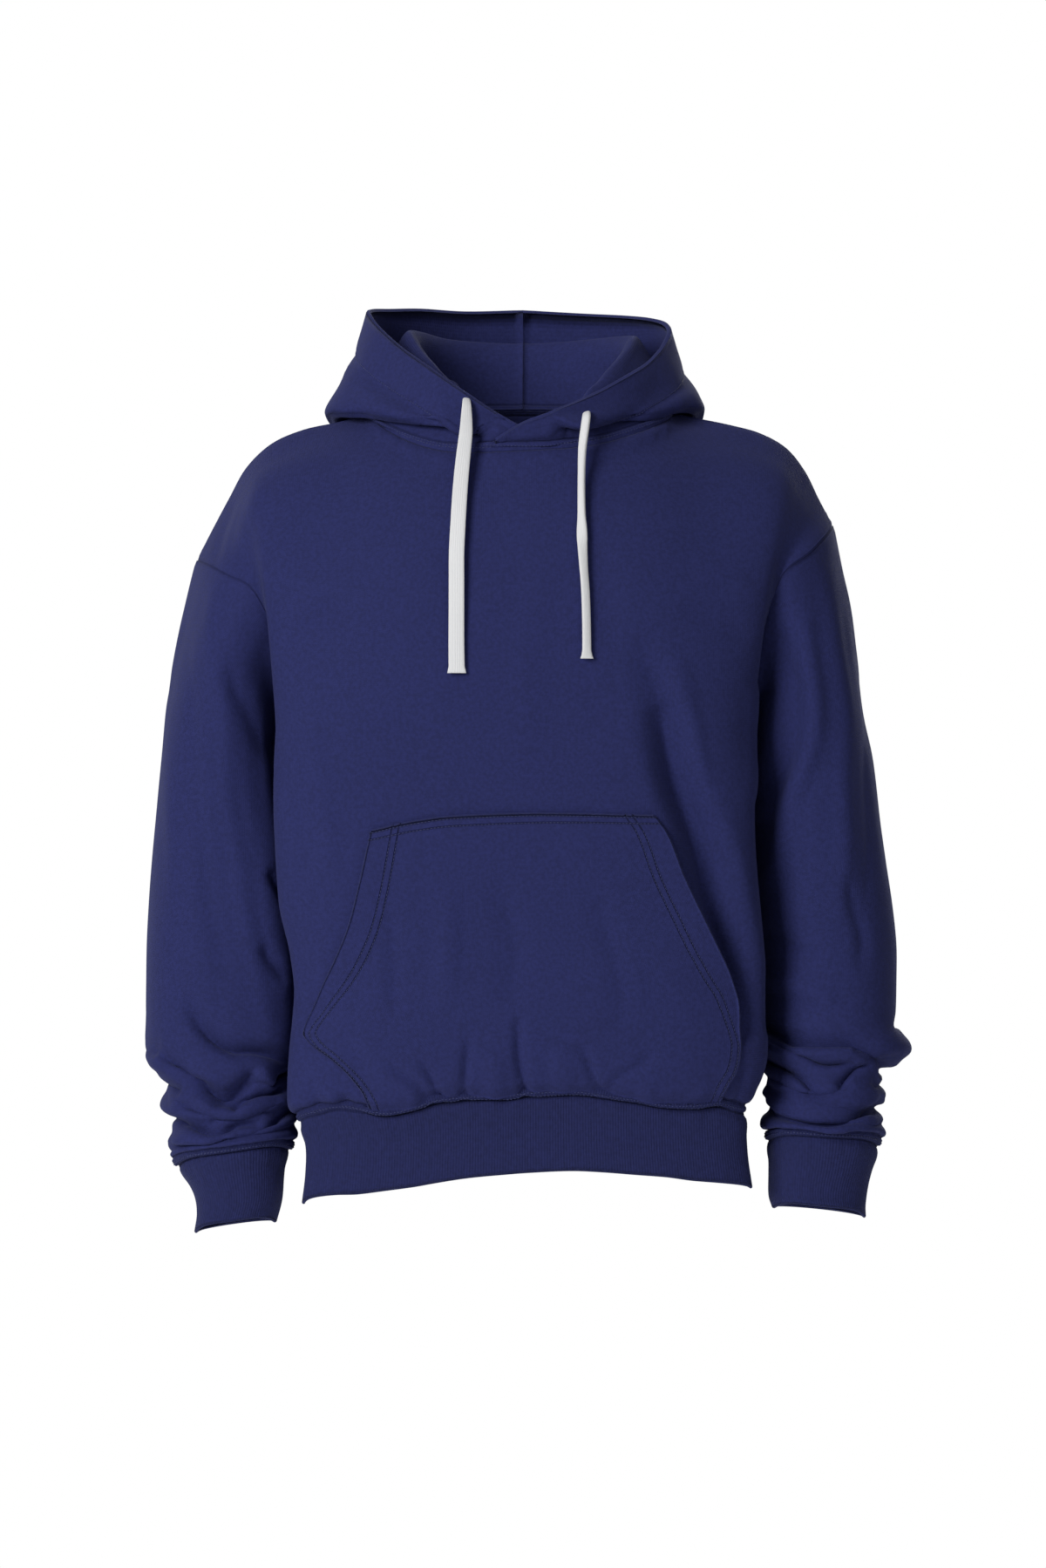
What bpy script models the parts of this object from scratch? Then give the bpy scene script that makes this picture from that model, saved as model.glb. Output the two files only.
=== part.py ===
"""Pullover hoodie, worn: boxy body with dropped shoulders, full sleeves pushed up in rolls above the cuffs,
a hood lying down behind the neck, a kangaroo pocket, a ribbed hem band and cuffs, and two flat drawcords.

Every panel is a wall of cloth: a grid of points on its middle surface, moved out and in by half its thickness.
The front faces -Y and the wearer's left side is at +X. The origin is in the middle of the neck, where the
neck rises out of the shoulders. Tables are in millimetres, with "left" for the side at -X.
"""

import math

import bmesh
import bpy
import numpy as np
from mathutils import Vector
from mathutils.bvhtree import BVHTree

MM = 0.001

# ------------------------------------------------------------------ driving dimensions, in metres
FLEECE = 0.0022  # thickness of the brushed sweatshirt cloth
RIB = 0.0030  # doubled rib of the hem band and cuffs
SEAM_GAP = 0.0003  # between the edges of two pieces that are sewn together
UNDERARM_Z = -0.265  # level where the side seams end under the arms
SEAM_Y = 0.008  # the side seams run a little behind the middle
FOLD_Y = -0.080  # depth of the fold where the front turns to the side
BACK_FOLD_Y = 0.068
CORD_RADIUS = 0.003  # a round cord with the section of the flat one, 13 mm by 2 mm
CORD_HOLE = 0.0038  # radius of the sewn hole that a cord comes out of

# ------------------------------------------------------------------ how finely the panels are divided
NECK_FRONT = 8  # columns from the middle of the front to the top of the shoulder seam
NECK_BACK = 6
SHOULDER = 7  # columns along a shoulder seam
SIDE = 4  # of the columns, those on the side, past the fold
ARMHOLE = 10  # rows along half an armhole
POCKET_COLUMNS = 30
HALF_FRONT = NECK_FRONT + SHOULDER
HALF_BACK = NECK_BACK + SHOULDER

# ------------------------------------------------------------------ body: one row a level, in millimetres
# share of the way up from the hem seam to the underarm | front and back in y | half width at the front fold,
# left and right | how far the side is tucked in under the arm, left and right
BODY = (
    (0.00, -121, 105, 187, 184, 5, 4),
    (0.03, -130, 112, 196, 191, 9, 8),
    (0.07, -133, 114, 197, 199, 14, 10),
    (0.15, -134, 112, 196, 205, 18, 13),
    (0.24, -134, 110, 193, 205, 19, 15),
    (0.32, -133, 109, 191, 204, 20, 15),
    (0.42, -133, 110, 195, 201, 24, 16),
    (0.54, -133, 112, 204, 198, 27, 16),
    (0.72, -134, 116, 208, 194, 28, 14),
    (0.90, -136, 120, 210, 194, 27, 14),
    (1.00, -136, 121, 211, 196, 27, 16),
)
# where the body's rows lie, as shares of the same way up
BODY_ROWS = (0, 0.018, 0.04, 0.07, 0.12, 0.18, 0.25, 0.33, 0.42, 0.52, 0.62, 0.72, 0.82, 0.91, 0.965, 1)
BACK_NARROWER = 0.007  # each half of the back, where it turns to the side
UNDERARM_FLARE = 0.009  # the side turns out to meet the sleeve
UNDERARM_RISE = (0.94, 1.0)  # shares of the way up between which it turns out
CROWD = 0.05  # low down, columns lie closer together where the body turns to the side
CROWD_ENDS = (0.40, 0.75)  # shares of the way up between which that ends
# height of the hem seam and of the band's lower edge: left side, front middle, right side, back middle
HEM_SEAM_Z = (-601, -575, -588, -603)
HEM_EDGE_Z = (-668, -638, -656, -668)
# the hem band from its seam to its edge: share | front and back | half width left and right | tuck
HEM_BAND = (
    (0.0, -121, 105, 187, 184, 5, 4),
    (0.2, -118, 104, 181, 185, 4, 4),
    (0.6, -117, 105, 181, 187, 3, 3),
    (1.0, -118, 107, 184, 191, 3, 3),
)

# ------------------------------------------------------------------ neck seam: angle from the front | z left, right
NECK_HALF_WIDTH = (130, 128)
NECK_FRONT_Y = 87
NECK_BACK_Y = 80
NECK = (
    (0, -31, -31),
    (17, -32, -29),
    (30, -31, -25),
    (41, -26, -19),
    (53, -18, -12),
    (76, -2, 0),
    (90, 4, 4),
    (130, 12, 12),
    (180, 14, 14),
)
# shoulder seam, from the neck to its low end on the upper arm: half width and z, left then right
SHOULDER_SEAM = (
    (130, 4, 128, 4),
    (170, -6, 170, -4),
    (200, -13, 202, -12),
    (217, -22, 221, -21),
    (234, -37, 238, -38),
    (256, -74, 253, -66),
    (281, -122, 267, -92),
)
SHOULDER_Y = (0, 5)  # depth of the shoulder seam at its two ends
# armhole from the underarm to the shoulder seam: half width, y, z on the left, then on the right
ARMHOLE_FRONT = (
    (199, -32, -240, 193, -32, -238),
    (207, -55, -203, 199, -56, -197),
    (218, -73, -166, 210, -74, -156),
    (231, -75, -147, 223, -77, -133),
    (250, -63, -138, 240, -67, -121),
    (270, -30, -127, 259, -34, -102),
)
ARMHOLE_BACK = (
    (199, 42, -240, 193, 42, -238),
    (207, 64, -203, 199, 64, -197),
    (218, 80, -166, 210, 81, -156),
    (231, 79, -147, 223, 81, -133),
    (250, 67, -136, 242, 67, -118),
    (270, 36, -125, 259, 36, -100),
)
# lines that shape the chest and the back above the underarm, by column from the middle:
# half width left and right, y, z
FRONT_LINES = {
    0: ((0, 0, -133, -190), (0, 0, -120, -115), (0, 0, -102, -62)),
    6: ((121, 119, -129, -190), (122, 121, -113, -112), (123, 122, -78, -48)),
    11: ((213, 199, -92, -200), (214, 202, -97, -155), (217, 207, -88, -105), (218, 215, -58, -55)),
    13: (
        (209, 198, -72, -204),
        (214, 203, -86, -164),
        (222, 211, -84, -136),
        (229, 220, -72, -110),
        (242, 236, -42, -70),
    ),
    14: ((208, 199, -64, -204), (212, 203, -77, -179), (218, 209, -83, -157), (229, 221, -77, -133)),
}
BACK_LINES = {
    0: ((0, 0, 126, -190), (0, 0, 123, -118), (0, 0, 107, -52)),
    6: ((120, 118, 118, -190), (123, 121, 107, -110), (128, 126, 78, -45), (134, 132, 36, -8)),
    9: ((203, 195, 93, -200), (208, 202, 97, -150), (214, 211, 88, -100), (218, 216, 60, -52)),
    11: (
        (205, 197, 76, -204),
        (211, 203, 90, -164),
        (221, 212, 90, -134),
        (230, 222, 78, -108),
        (243, 238, 46, -70),
    ),
    12: ((207, 198, 70, -203), (213, 204, 83, -178), (219, 210, 90, -155), (230, 222, 85, -131)),
}

# ------------------------------------------------------------------ sleeves: one ring a row, in millimetres
# outer side: half width, z | inner side: half width, z | middle y, half depth. The first ring is the armhole.
SLEEVE = {
    "left": (
        (281, -122, 193, -265, 6, 84),
        (291, -165, 209, -267, 6, 83),
        (300, -205, 215, -289, 7, 85),
        (306, -245, 213, -321, 8, 87),
        (310, -285, 208, -352, 9, 87),
        (314, -325, 202, -383, 9, 86),
        (317, -365, 199, -412, 8, 84),
        (320, -410, 197, -444, 6, 81),
        (322, -455, 195, -477, 2, 78),
        (322, -500, 195, -508, -4, 75),
        (322, -535, 195, -535, -10, 71),
        (312, -560, 197, -556, -15, 66),
        (303, -580, 197, -574, -19, 62),
        (299, -600, 197, -591, -24, 58),
        (298, -620, 197, -606, -29, 54),
        (295, -636, 198, -622, -34, 47),
    ),
    "right": (
        (267, -92, 189, -265, 6, 84),
        (276, -138, 202, -267, 6, 83),
        (286, -185, 206, -289, 7, 85),
        (294, -240, 202, -321, 8, 87),
        (301, -285, 197, -352, 9, 87),
        (305, -325, 194, -383, 9, 86),
        (309, -365, 193, -412, 8, 84),
        (315, -410, 195, -444, 6, 81),
        (319, -455, 198, -477, 2, 78),
        (319, -490, 201, -502, -3, 75),
        (318, -512, 204, -520, -8, 72),
        (318, -535, 206, -538, -12, 68),
        (309, -562, 209, -560, -17, 64),
        (303, -584, 211, -578, -22, 60),
        (303, -602, 209, -597, -28, 55),
        (302, -619, 209, -614, -34, 47),
    ),
}
SLEEVE_STEPS = (12, 19)  # rings down to the first of the rolls, and along the rolls
ROLLS_FROM = 9.5  # where the rolls begin, in rings of the table
SLEEVE_FADE = 7  # over the first of the rings above, the armhole's own shape fades out
# rolls of pushed-up cloth: ring of the table at the outer side | at the inner side | at the front |
# height of the ridge out, in front, in and behind | half width in rings
ROLLS = {
    "left": (
        (10.2, 10.6, 10.8, 6, 5, 2, 5, 0.75),
        (12.3, 11.9, 12.6, 9, 6, 4, 6, 0.55),
        (13.8, 13.0, 13.6, 4, 6, 5, 6, 0.50),
        (14.9, 14.2, 14.7, 5, 6, 5, 5, 0.50),
    ),
    "right": (
        (11.0, 10.6, 10.9, 15, 6, 3, 7, 0.70),
        (12.9, 11.9, 12.4, 6, 5, 5, 6, 0.55),
        (13.9, 13.0, 13.7, 3, 6, 5, 6, 0.50),
        (14.6, 14.3, 14.5, 6, 7, 5, 5, 0.45),
    ),
}
# cuff from its seam to its edge, columns as for the sleeves
CUFF = {
    "left": (
        (295, -636, 198, -622, -34, 47),
        (283, -655, 205, -637, -36, 40),
        (276, -675, 206, -662, -38, 35),
        (278, -695, 211, -686, -40, 33),
    ),
    "right": (
        (302, -619, 209, -614, -34, 47),
        (297, -640, 211, -632, -36, 40),
        (290, -668, 210, -660, -38, 35),
        (290, -682, 213, -674, -40, 34),
    ),
}

# ------------------------------------------------------------------ hood, by angle from the front, in millimetres
# top of the roll round the neck | bottom of the fold that hangs outside | front edge: radius and z of each
HOOD = {
    "left": (
        (0, 86, -24, 90, -24, 88, -17),
        (14, 86, -24, 92, -24, 89, -5),
        (27, 86, -18, 97, -21, 93, 9),
        (39, 82, 17, 106, -15, 97, 22),
        (52, 80, 28, 113, -10, 100, 36),
        (71, 82, 46, 131, -4, 107, 54),
        (90, 88, 60, 160, 1, 121, 74),
        (103, 97, 70, 165, -3, 132, 88),
        (115, 104, 75, 166, -17, 140, 94),
        (134, 106, 77, 171, -60, 146, 99),
        (157, 105, 76, 168, -106, 152, 106),
        (180, 104, 75, 167, -122, 155, 109),
    ),
    "right": (
        (0, 87, -24, 90, -24, 89, -16),
        (14, 88, -20, 98, -21, 92, -7),
        (27, 84, -11, 102, -17, 94, 3),
        (34, 82, 9, 103, -14, 96, 9),
        (46, 81, 20, 107, -11, 101, 20),
        (57, 79, 32, 113, -7, 105, 30),
        (72, 81, 46, 126, -1, 110, 42),
        (88, 87, 59, 150, 4, 119, 59),
        (101, 94, 70, 158, 2, 129, 75),
        (116, 103, 75, 165, -17, 138, 88),
        (134, 106, 77, 171, -60, 145, 97),
        (157, 105, 76, 168, -106, 152, 104),
        (180, 104, 75, 167, -122, 155, 109),
    ),
}
# where each row of points lies along the profile, counted in the profile's knots
HOOD_ROWS = (0, 1, 1.6, 2, 2.5, 3, 3.5, 4, 5, 6, 6.5, 7, 7.5, 8, 9, 10)
PLAIN_ROWS = np.append(0, np.linspace(0.25, 1, len(HOOD_ROWS) - 1))  # the same where there is no fold
HOOD_SWELL = ((0, 0.0), (40, -0.002), (100, -0.002), (180, 0.014))  # angle | how far the outer layer bulges out
HOOD_PLAIN = {"left": 20, "right": 17}  # below this angle the half has no fold
HOOD_LAP = 0.0046  # how far the wearer's left half stands in front of the other, where they cross
HOOD_TIP = 0.006  # height of a half at its end past the middle
LAYERS_APART = 0.0042  # least distance between the middles of two layers of the fold

# ------------------------------------------------------------------ pocket: level up from its lower edge | left and right x
POCKET_RISE = 0.002  # its lower edge above the hem seam
POCKET_TOP = ((-125, -357), (-98, -346), (-60, -341), (10, -339), (108, -341))  # upper edge: x, z
POCKET = (
    (0.00, -140, 177),
    (0.10, -150, 182),
    (0.20, -163, 182),
    (0.29, -176, 181),
    (0.37, -178, 178),
    (0.46, -171, 167),
    (0.58, -153, 152),
    (0.76, -138, 131),
    (1.00, -125, 108),
)
POCKET_ROWS = (0, 0.03, 0.07, 0.13, 0.20, 0.29, 0.38, 0.48, 0.60, 0.73, 0.87, 1)
POCKET_GAP = 0.0009  # between the pocket and the front where it is sewn down
POCKET_SAG = 0.0025  # how far the pocket stands off the front in its middle
# gathers above the hem: x | height of the ridge | half width | how far up they reach
GATHERS = (
    (-76, 3.0, 9, 0.22),
    (-58, 2.4, 9, 0.30),
    (-26, 3.0, 13, 0.26),
    (10, 2.6, 12, 0.30),
    (46, 2.6, 13, 0.22),
    (84, 2.2, 14, 0.26),
)

# ------------------------------------------------------------------ drawcords: points of each route, in millimetres
CORD_ROUTE = {
    "left": (
        (-47.5, -79, 8),
        (-47.4, -86, 7.5),
        (-47.2, -91, 4),
        (-47.2, -94, -3),
        (-47.6, -96, -18),
        (-49.5, -101, -37),
        (-51.5, -108, -58),
        (-53.0, -116, -80),
        (-54.0, -123, -100),
        (-55.0, -129, -122),
        (-55.0, -134, -146),
        (-55.0, -137, -172),
        (-55.0, -139, -200),
        (-54.7, -140, -223),
    ),
    "right": (
        (53.4, -82, -5),
        (53.3, -90.5, -4.3),
        (53.0, -96, -7.5),
        (52.0, -98.5, -15),
        (49.8, -102, -32),
        (48.8, -108, -56),
        (48.6, -115, -76),
        (48.8, -121, -95),
        (49.2, -127, -114),
        (50.2, -132, -134),
        (51.6, -135, -154),
        (52.4, -138, -178),
        (52.8, -140, -211),
    ),
}
CORD_POINTS = 30
SIGN = {"left": -1.0, "right": 1.0}
COLUMNS_OF = {"left": 0, "right": 1}

# ------------------------------------------------------------------ colours and roughness
NAVY = (0.022, 0.030, 0.125, 1.0)
NAVY_RIB = (0.019, 0.026, 0.110, 1.0)
OFF_WHITE = (0.74, 0.77, 0.82, 1.0)


# ------------------------------------------------------------------ curves through tables
def through(rows, at):
    """Values at each place through rows whose first column is the place, smooth and without overshoot."""
    table = np.array(rows, float)
    place, value = table[:, 0], table[:, 1:]
    at = np.clip(np.atleast_1d(np.array(at, float)), place[0], place[-1])
    step = np.diff(place)[:, None]
    slope = np.diff(value, axis=0) / step
    tangent = np.zeros_like(value)
    tangent[0], tangent[-1] = slope[0], slope[-1]
    if len(place) > 2:
        before, after = 2 * step[1:] + step[:-1], step[1:] + 2 * step[:-1]
        same = slope[:-1] * slope[1:] > 0
        low = np.where(same, slope[:-1], 1.0)
        high = np.where(same, slope[1:], 1.0)
        tangent[1:-1] = np.where(same, (before + after) / (before / low + after / high), 0.0)
    i = np.clip(np.searchsorted(place, at, side="right") - 1, 0, len(place) - 2)
    h = step[i]
    t = (at - place[i])[:, None] / h
    return (
        value[i] * (1 + 2 * t) * (1 - t) ** 2
        + tangent[i] * h * t * (1 - t) ** 2
        + value[i + 1] * t * t * (3 - 2 * t)
        + tangent[i + 1] * h * t * t * (t - 1)
    )


def along(points):
    """How far along a line each of its points is."""
    return np.concatenate([[0.0], np.cumsum(np.linalg.norm(np.diff(points, axis=0), axis=1))])


def spline(points, shares):
    """Points at the given shares of the length of a rounded line through the points."""
    points = np.array(points, float)
    at = along(points)
    step = np.diff(at)[:, None]
    slope = np.diff(points, axis=0) / step
    tangent = np.empty_like(points)
    tangent[0], tangent[-1] = slope[0], slope[-1]
    tangent[1:-1] = (slope[:-1] * step[1:] + slope[1:] * step[:-1]) / (step[1:] + step[:-1])
    place = np.array(shares, float) * at[-1]
    i = np.clip(np.searchsorted(at, place, side="right") - 1, 0, len(at) - 2)
    h = step[i]
    t = (place - at[i])[:, None] / h
    return (
        points[i] * (1 + 2 * t) * (1 - t) ** 2
        + tangent[i] * h * t * (1 - t) ** 2
        + points[i + 1] * t * t * (3 - 2 * t)
        + tangent[i + 1] * h * t * t * (t - 1)
    )


def even(points, count, crowd=0.0):
    """The line again, as count stretches of the same length, or closer together where it turns."""
    at = along(points)
    if crowd:
        step = unit(np.diff(points, axis=0))
        turned = np.concatenate([[0.0], np.linalg.norm(np.diff(step, axis=0), axis=1), [0.0]])
        at = at + crowd * np.cumsum(turned)
    places = np.linspace(0, at[-1], count + 1)
    return np.stack([np.interp(places, at, points[:, k]) for k in range(3)], axis=1)


def relax(points, share, rounds):
    """Round off the kinks of a grid: each inner point goes part of the way to the middle of those next to it."""
    points = points.copy()
    for _ in range(rounds):
        middle = (points[:-2, 1:-1] + points[2:, 1:-1] + points[1:-1, :-2] + points[1:-1, 2:]) / 4
        points[1:-1, 1:-1] += share[1:-1, 1:-1, None] * (middle - points[1:-1, 1:-1])
    return points


def smooth(low, high, x):
    """0 below low, 1 above high, and an S-curve between them."""
    t = np.clip((np.array(x, float) - low) / (high - low), 0, 1)
    return t * t * (3 - 2 * t)


def unit(v):
    return v / np.maximum(np.linalg.norm(v, axis=-1, keepdims=True), 1e-12)


def power(value, exponent):
    return np.sign(value) * np.abs(value) ** exponent


# ------------------------------------------------------------------ a panel, and the seams between panels
class Panel:
    """A grid of points on the middle surface of a cloth: rows by columns."""

    def __init__(self, points, ring=False, facing=1.0):
        self.points = np.array(points, float)
        self.ring = ring
        self.facing = facing
        self.moved = np.zeros_like(self.points)
        self.seam_keys = {}

    def normals(self):
        p = self.points
        if self.ring:
            across = np.roll(p, -1, axis=1) - np.roll(p, 1, axis=1)
        else:
            across = np.gradient(p, axis=1)
        return unit(np.cross(across, np.gradient(p, axis=0))) * self.facing


SEAM_NORMALS = {}


def key(point):
    return tuple(int(round(c * 1e6)) for c in point)


def sew(a, a_edge, a_inside, b, b_edge, b_inside):
    """Two panels share the points of an edge: each is drawn back by half the gap, and both get one normal."""
    points = np.array([a.points[i] for i in a_edge])
    tangent = unit(np.gradient(points, axis=0))
    out = unit(np.array([a.points[i] for i in a_inside]) - np.array([b.points[i] for i in b_inside]))
    out = unit(out - (out * tangent).sum(1, keepdims=True) * tangent)
    of_a, of_b = a.normals(), b.normals()
    for n, (i, j) in enumerate(zip(a_edge, b_edge)):
        a.moved[i] += out[n] * SEAM_GAP / 2
        b.moved[j] -= out[n] * SEAM_GAP / 2
        name = key(points[n])
        SEAM_NORMALS[name] = SEAM_NORMALS.get(name, np.zeros(3)) + of_a[i] + of_b[j]
        a.seam_keys[i] = name
        b.seam_keys[j] = name


def triangles(points, ring=False):
    """Each square of a grid as two triangles, parted along its shorter diagonal."""
    rows, columns = points.shape[:2]
    flat = points.reshape(-1, 3)
    found = []
    for row in range(rows - 1):
        for column in range(columns if ring else columns - 1):
            a, b = row * columns + column, row * columns + (column + 1) % columns
            c, d = b + columns, a + columns
            if np.linalg.norm(flat[a] - flat[c]) <= np.linalg.norm(flat[b] - flat[d]):
                found += [(a, b, c), (a, c, d)]
            else:
                found += [(a, b, d), (b, c, d)]
    return found


def wall(name, panel, thickness, material, lift=None):
    """One closed body: the panel's points moved out and in by half the thickness, and its open edges closed."""
    normal = panel.normals()
    for place, seam in panel.seam_keys.items():
        normal[place] = unit(SEAM_NORMALS[seam])
    middle = panel.points + panel.moved
    if lift is not None:
        middle = middle + normal * lift
    half = thickness / 2
    mesh = bmesh.new()
    outer, inner = (
        [mesh.verts.new(p) for p in (middle + normal * offset).reshape(-1, 3)] for offset in (half, -half)
    )
    for corners in triangles(middle, panel.ring):
        mesh.faces.new([outer[k] for k in corners])
        mesh.faces.new([inner[k] for k in reversed(corners)])
    rows, columns = middle.shape[:2]
    last = columns if panel.ring else columns - 1
    rim = [((0, c + 1), (0, c)) for c in range(last)]
    rim += [((rows - 1, c), (rows - 1, c + 1)) for c in range(last)]
    if not panel.ring:
        rim += [((r, 0), (r + 1, 0)) for r in range(rows - 1)]
        rim += [((r + 1, last), (r, last)) for r in range(rows - 1)]
    for a, b in rim:
        i, j = (row * columns + column % columns for row, column in (a, b))
        # the rims on both sides of a seam are parted along the same diagonal
        ahead = tuple(panel.points.reshape(-1, 3)[i]) < tuple(panel.points.reshape(-1, 3)[j])
        if ahead:
            halves = ((outer[i], outer[j], inner[j]), (outer[i], inner[j], inner[i]))
        else:
            halves = ((outer[i], outer[j], inner[i]), (outer[j], inner[j], inner[i]))
        for corners in halves:
            mesh.faces.new(corners)
    bmesh.ops.recalc_face_normals(mesh, faces=mesh.faces)
    data = bpy.data.meshes.new(name)
    mesh.to_mesh(data)
    mesh.free()
    data.shade_smooth()
    data.set_sharp_from_angle(angle=math.radians(50))
    data.materials.append(material)
    body = bpy.data.objects.new(name, data)
    bpy.context.scene.collection.objects.link(body)
    return body


def cloth(name, colour, roughness):
    material = bpy.data.materials.new(name)
    material.use_nodes = True
    shader = material.node_tree.nodes["Principled BSDF"]
    shader.inputs["Base Color"].default_value = colour
    shader.inputs["Roughness"].default_value = roughness
    shader.inputs["Metallic"].default_value = 0.0
    return material


# ------------------------------------------------------------------ body
def half_section(middle, width, tuck, flare, fold_y, on_fold, on_side, fullness, crowd):
    """Half a level section, from the middle of the front or back to the side seam, at +X."""
    angle = np.linspace(0, math.pi / 2, 200)
    x = width * power(np.sin(angle), 2 / fullness)
    y = fold_y + (middle - fold_y) * power(np.cos(angle), 2 / fullness)
    face = even(np.stack([x, y, np.zeros_like(x)], axis=1), on_fold, crowd)
    t = np.linspace(0, 1, on_side + 1)[1:]
    x = width - tuck * smooth(0, 0.8, t) + flare * smooth(0.4, 1, t)
    y = fold_y + (SEAM_Y - fold_y) * t
    return np.concatenate([face, np.stack([x, y, np.zeros_like(x)], axis=1)])


def whole_section(row, front, share=0.0):
    """A level section from side seam to side seam: left to right in front, right to left behind."""
    front_y, back_y, left, right, tuck_left, tuck_right = row
    middle, fold_y, half = (front_y, FOLD_Y, HALF_FRONT) if front else (back_y, BACK_FOLD_Y, HALF_BACK)
    fullness, less = (2.7, 0.0) if front else (2.5, min(BACK_NARROWER, tuck_left / 2, tuck_right / 2))
    flare = UNDERARM_FLARE * float(smooth(*UNDERARM_RISE, share))
    crowd = CROWD * (1 - float(smooth(*CROWD_ENDS, share)))
    shape = (flare, fold_y, half - SIDE, SIDE, fullness, crowd)
    a = half_section(middle, left - less, tuck_left - less, *shape) * [-1, 1, 1]
    b = half_section(middle, right - less, tuck_right - less, *shape)
    return np.concatenate([a[::-1], b[1:]]) if front else np.concatenate([b[::-1], a[1:]])


def level_of(corners, front):
    """Heights along a seam round the body, from its heights at the sides and the middles."""
    left, front_z, right, back_z = np.array(corners) * MM
    half = HALF_FRONT if front else HALF_BACK
    t = np.linspace(-1, 1, 2 * half + 1)
    if front:
        side = np.where(t < 0, left, right)
        return side + (front_z - side) * (0.5 + 0.5 * np.cos(math.pi * t)) ** 0.8
    side = np.where(t < 0, right, left)
    return side + (back_z - side) * (0.5 + 0.5 * np.cos(math.pi * t))


def lower_body(front):
    seam = level_of(HEM_SEAM_Z, front)
    rows = []
    for share, row in zip(BODY_ROWS, through(BODY, BODY_ROWS) * MM):
        section = whole_section(row, front, share)
        section[:, 2] = seam + (UNDERARM_Z - seam) * share
        rows.append(section)
    return np.array(rows)


def neck_half(side, front):
    """Half the neck seam, from the middle to the top of the shoulder."""
    a = NECK_HALF_WIDTH[COLUMNS_OF[side]] * MM
    b = (NECK_FRONT_Y if front else NECK_BACK_Y) * MM
    angle = np.linspace(0, 90, 91) if front else np.linspace(180, 90, 91)
    turn = np.radians(angle)
    z = through(NECK, angle)[:, COLUMNS_OF[side]] * MM
    points = np.stack([SIGN[side] * a * np.sin(turn), -b * np.cos(turn), z], axis=1)
    return even(points, NECK_FRONT if front else NECK_BACK)


def shoulder_half(side):
    table = np.array(SHOULDER_SEAM, float)[:, 2 * COLUMNS_OF[side] : 2 * COLUMNS_OF[side] + 2] * MM
    y = np.linspace(SHOULDER_Y[0], SHOULDER_Y[1], len(table)) * MM
    points = np.stack([SIGN[side] * table[:, 0], y, table[:, 1]], axis=1)
    return even(spline(points, np.linspace(0, 1, 120)), SHOULDER)


def top_half(side, front):
    return np.concatenate([neck_half(side, front), shoulder_half(side)[1:]])


def armhole_half(side, front, under, tip):
    """One side of an armhole, from the underarm to the low end of the shoulder seam."""
    rows = ARMHOLE_FRONT if front else ARMHOLE_BACK
    table = np.array(rows, float)[:, 3 * COLUMNS_OF[side] : 3 * COLUMNS_OF[side] + 3] * MM
    table[:, 0] *= SIGN[side]
    return even(spline([under, *table, tip], np.linspace(0, 1, 200)), ARMHOLE)


def upper_body(front, bottom):
    """The panel above the underarm: straight from below to above, plus what each shaping line adds."""
    half = HALF_FRONT if front else HALF_BACK
    first, second = ("left", "right") if front else ("right", "left")
    top = np.concatenate([top_half(first, front)[::-1], top_half(second, front)[1:]])
    rise = np.linspace(0, 1, ARMHOLE + 1)
    straight = bottom[None] + rise[:, None, None] * (top - bottom)[None]
    added = []
    for side, turn in ((first, -1), (second, 1)):
        for column, rows in (FRONT_LINES if front else BACK_LINES).items():
            if column == 0 and turn == 1:
                continue
            place = half + turn * column
            inside = [
                (SIGN[side] * row[COLUMNS_OF[side]] * MM, row[2] * MM, row[3] * MM) for row in rows
            ]
            line = spline([bottom[place], *inside, top[place]], rise)
            added.append((turn * column, line - straight[:, place]))
        place = half + turn * half
        line = armhole_half(side, front, bottom[place], top[place])
        added.append((turn * half, line - straight[:, place]))
    added.sort(key=lambda pair: pair[0])
    rows = np.array([np.concatenate([[column], line.ravel()]) for column, line in added])
    columns = np.arange(-half, half + 1)
    bulge = through(rows, columns).reshape(2 * half + 1, ARMHOLE + 1, 3).transpose(1, 0, 2)
    return straight + bulge


def body_panel(front):
    low = lower_body(front)
    high = upper_body(front, low[-1])
    points = np.concatenate([low, high[1:]])
    half = HALF_FRONT if front else HALF_BACK
    near_arm = smooth(half - 6, half - 2, np.abs(np.arange(2 * half + 1) - half))
    near_top = smooth(len(low) - 4, len(low) + 1, np.arange(len(points)))
    return Panel(relax(points, 0.6 * near_top[:, None] * near_arm, 3))


def hem_band():
    rows = []
    shares = np.linspace(0, 1, 4)
    for share, row in zip(shares, through(HEM_BAND, shares) * MM):
        ring = []
        for front in (True, False):
            section = whole_section(row, front)
            top, low = level_of(HEM_SEAM_Z, front), level_of(HEM_EDGE_Z, front)
            section[:, 2] = top + (low - top) * share
            ring.append(section[:-1])
        rows.append(np.concatenate(ring))
    return Panel(rows, ring=True, facing=-1.0)


# ------------------------------------------------------------------ sleeves and cuffs
def oval(row, side):
    """A ring from its inner side over the front to its outer side and back behind."""
    out_x, out_z, in_x, in_z, y, depth = row
    middle = np.array([SIGN[side] * (out_x + in_x) / 2, y, (out_z + in_z) / 2])
    reach = np.array([SIGN[side] * (out_x - in_x) / 2, 0, (out_z - in_z) / 2])
    halves = []
    for turn in (-1, 1):
        angle = np.linspace(math.pi, 0, 120)
        c, s = power(np.cos(angle), 0.88), power(np.sin(angle), 0.88)
        half = middle + c[:, None] * reach + s[:, None] * np.array([0, turn * depth, 0])
        halves.append(even(half, ARMHOLE))
    return np.concatenate([halves[0], halves[1][::-1][1:-1]])


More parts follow.
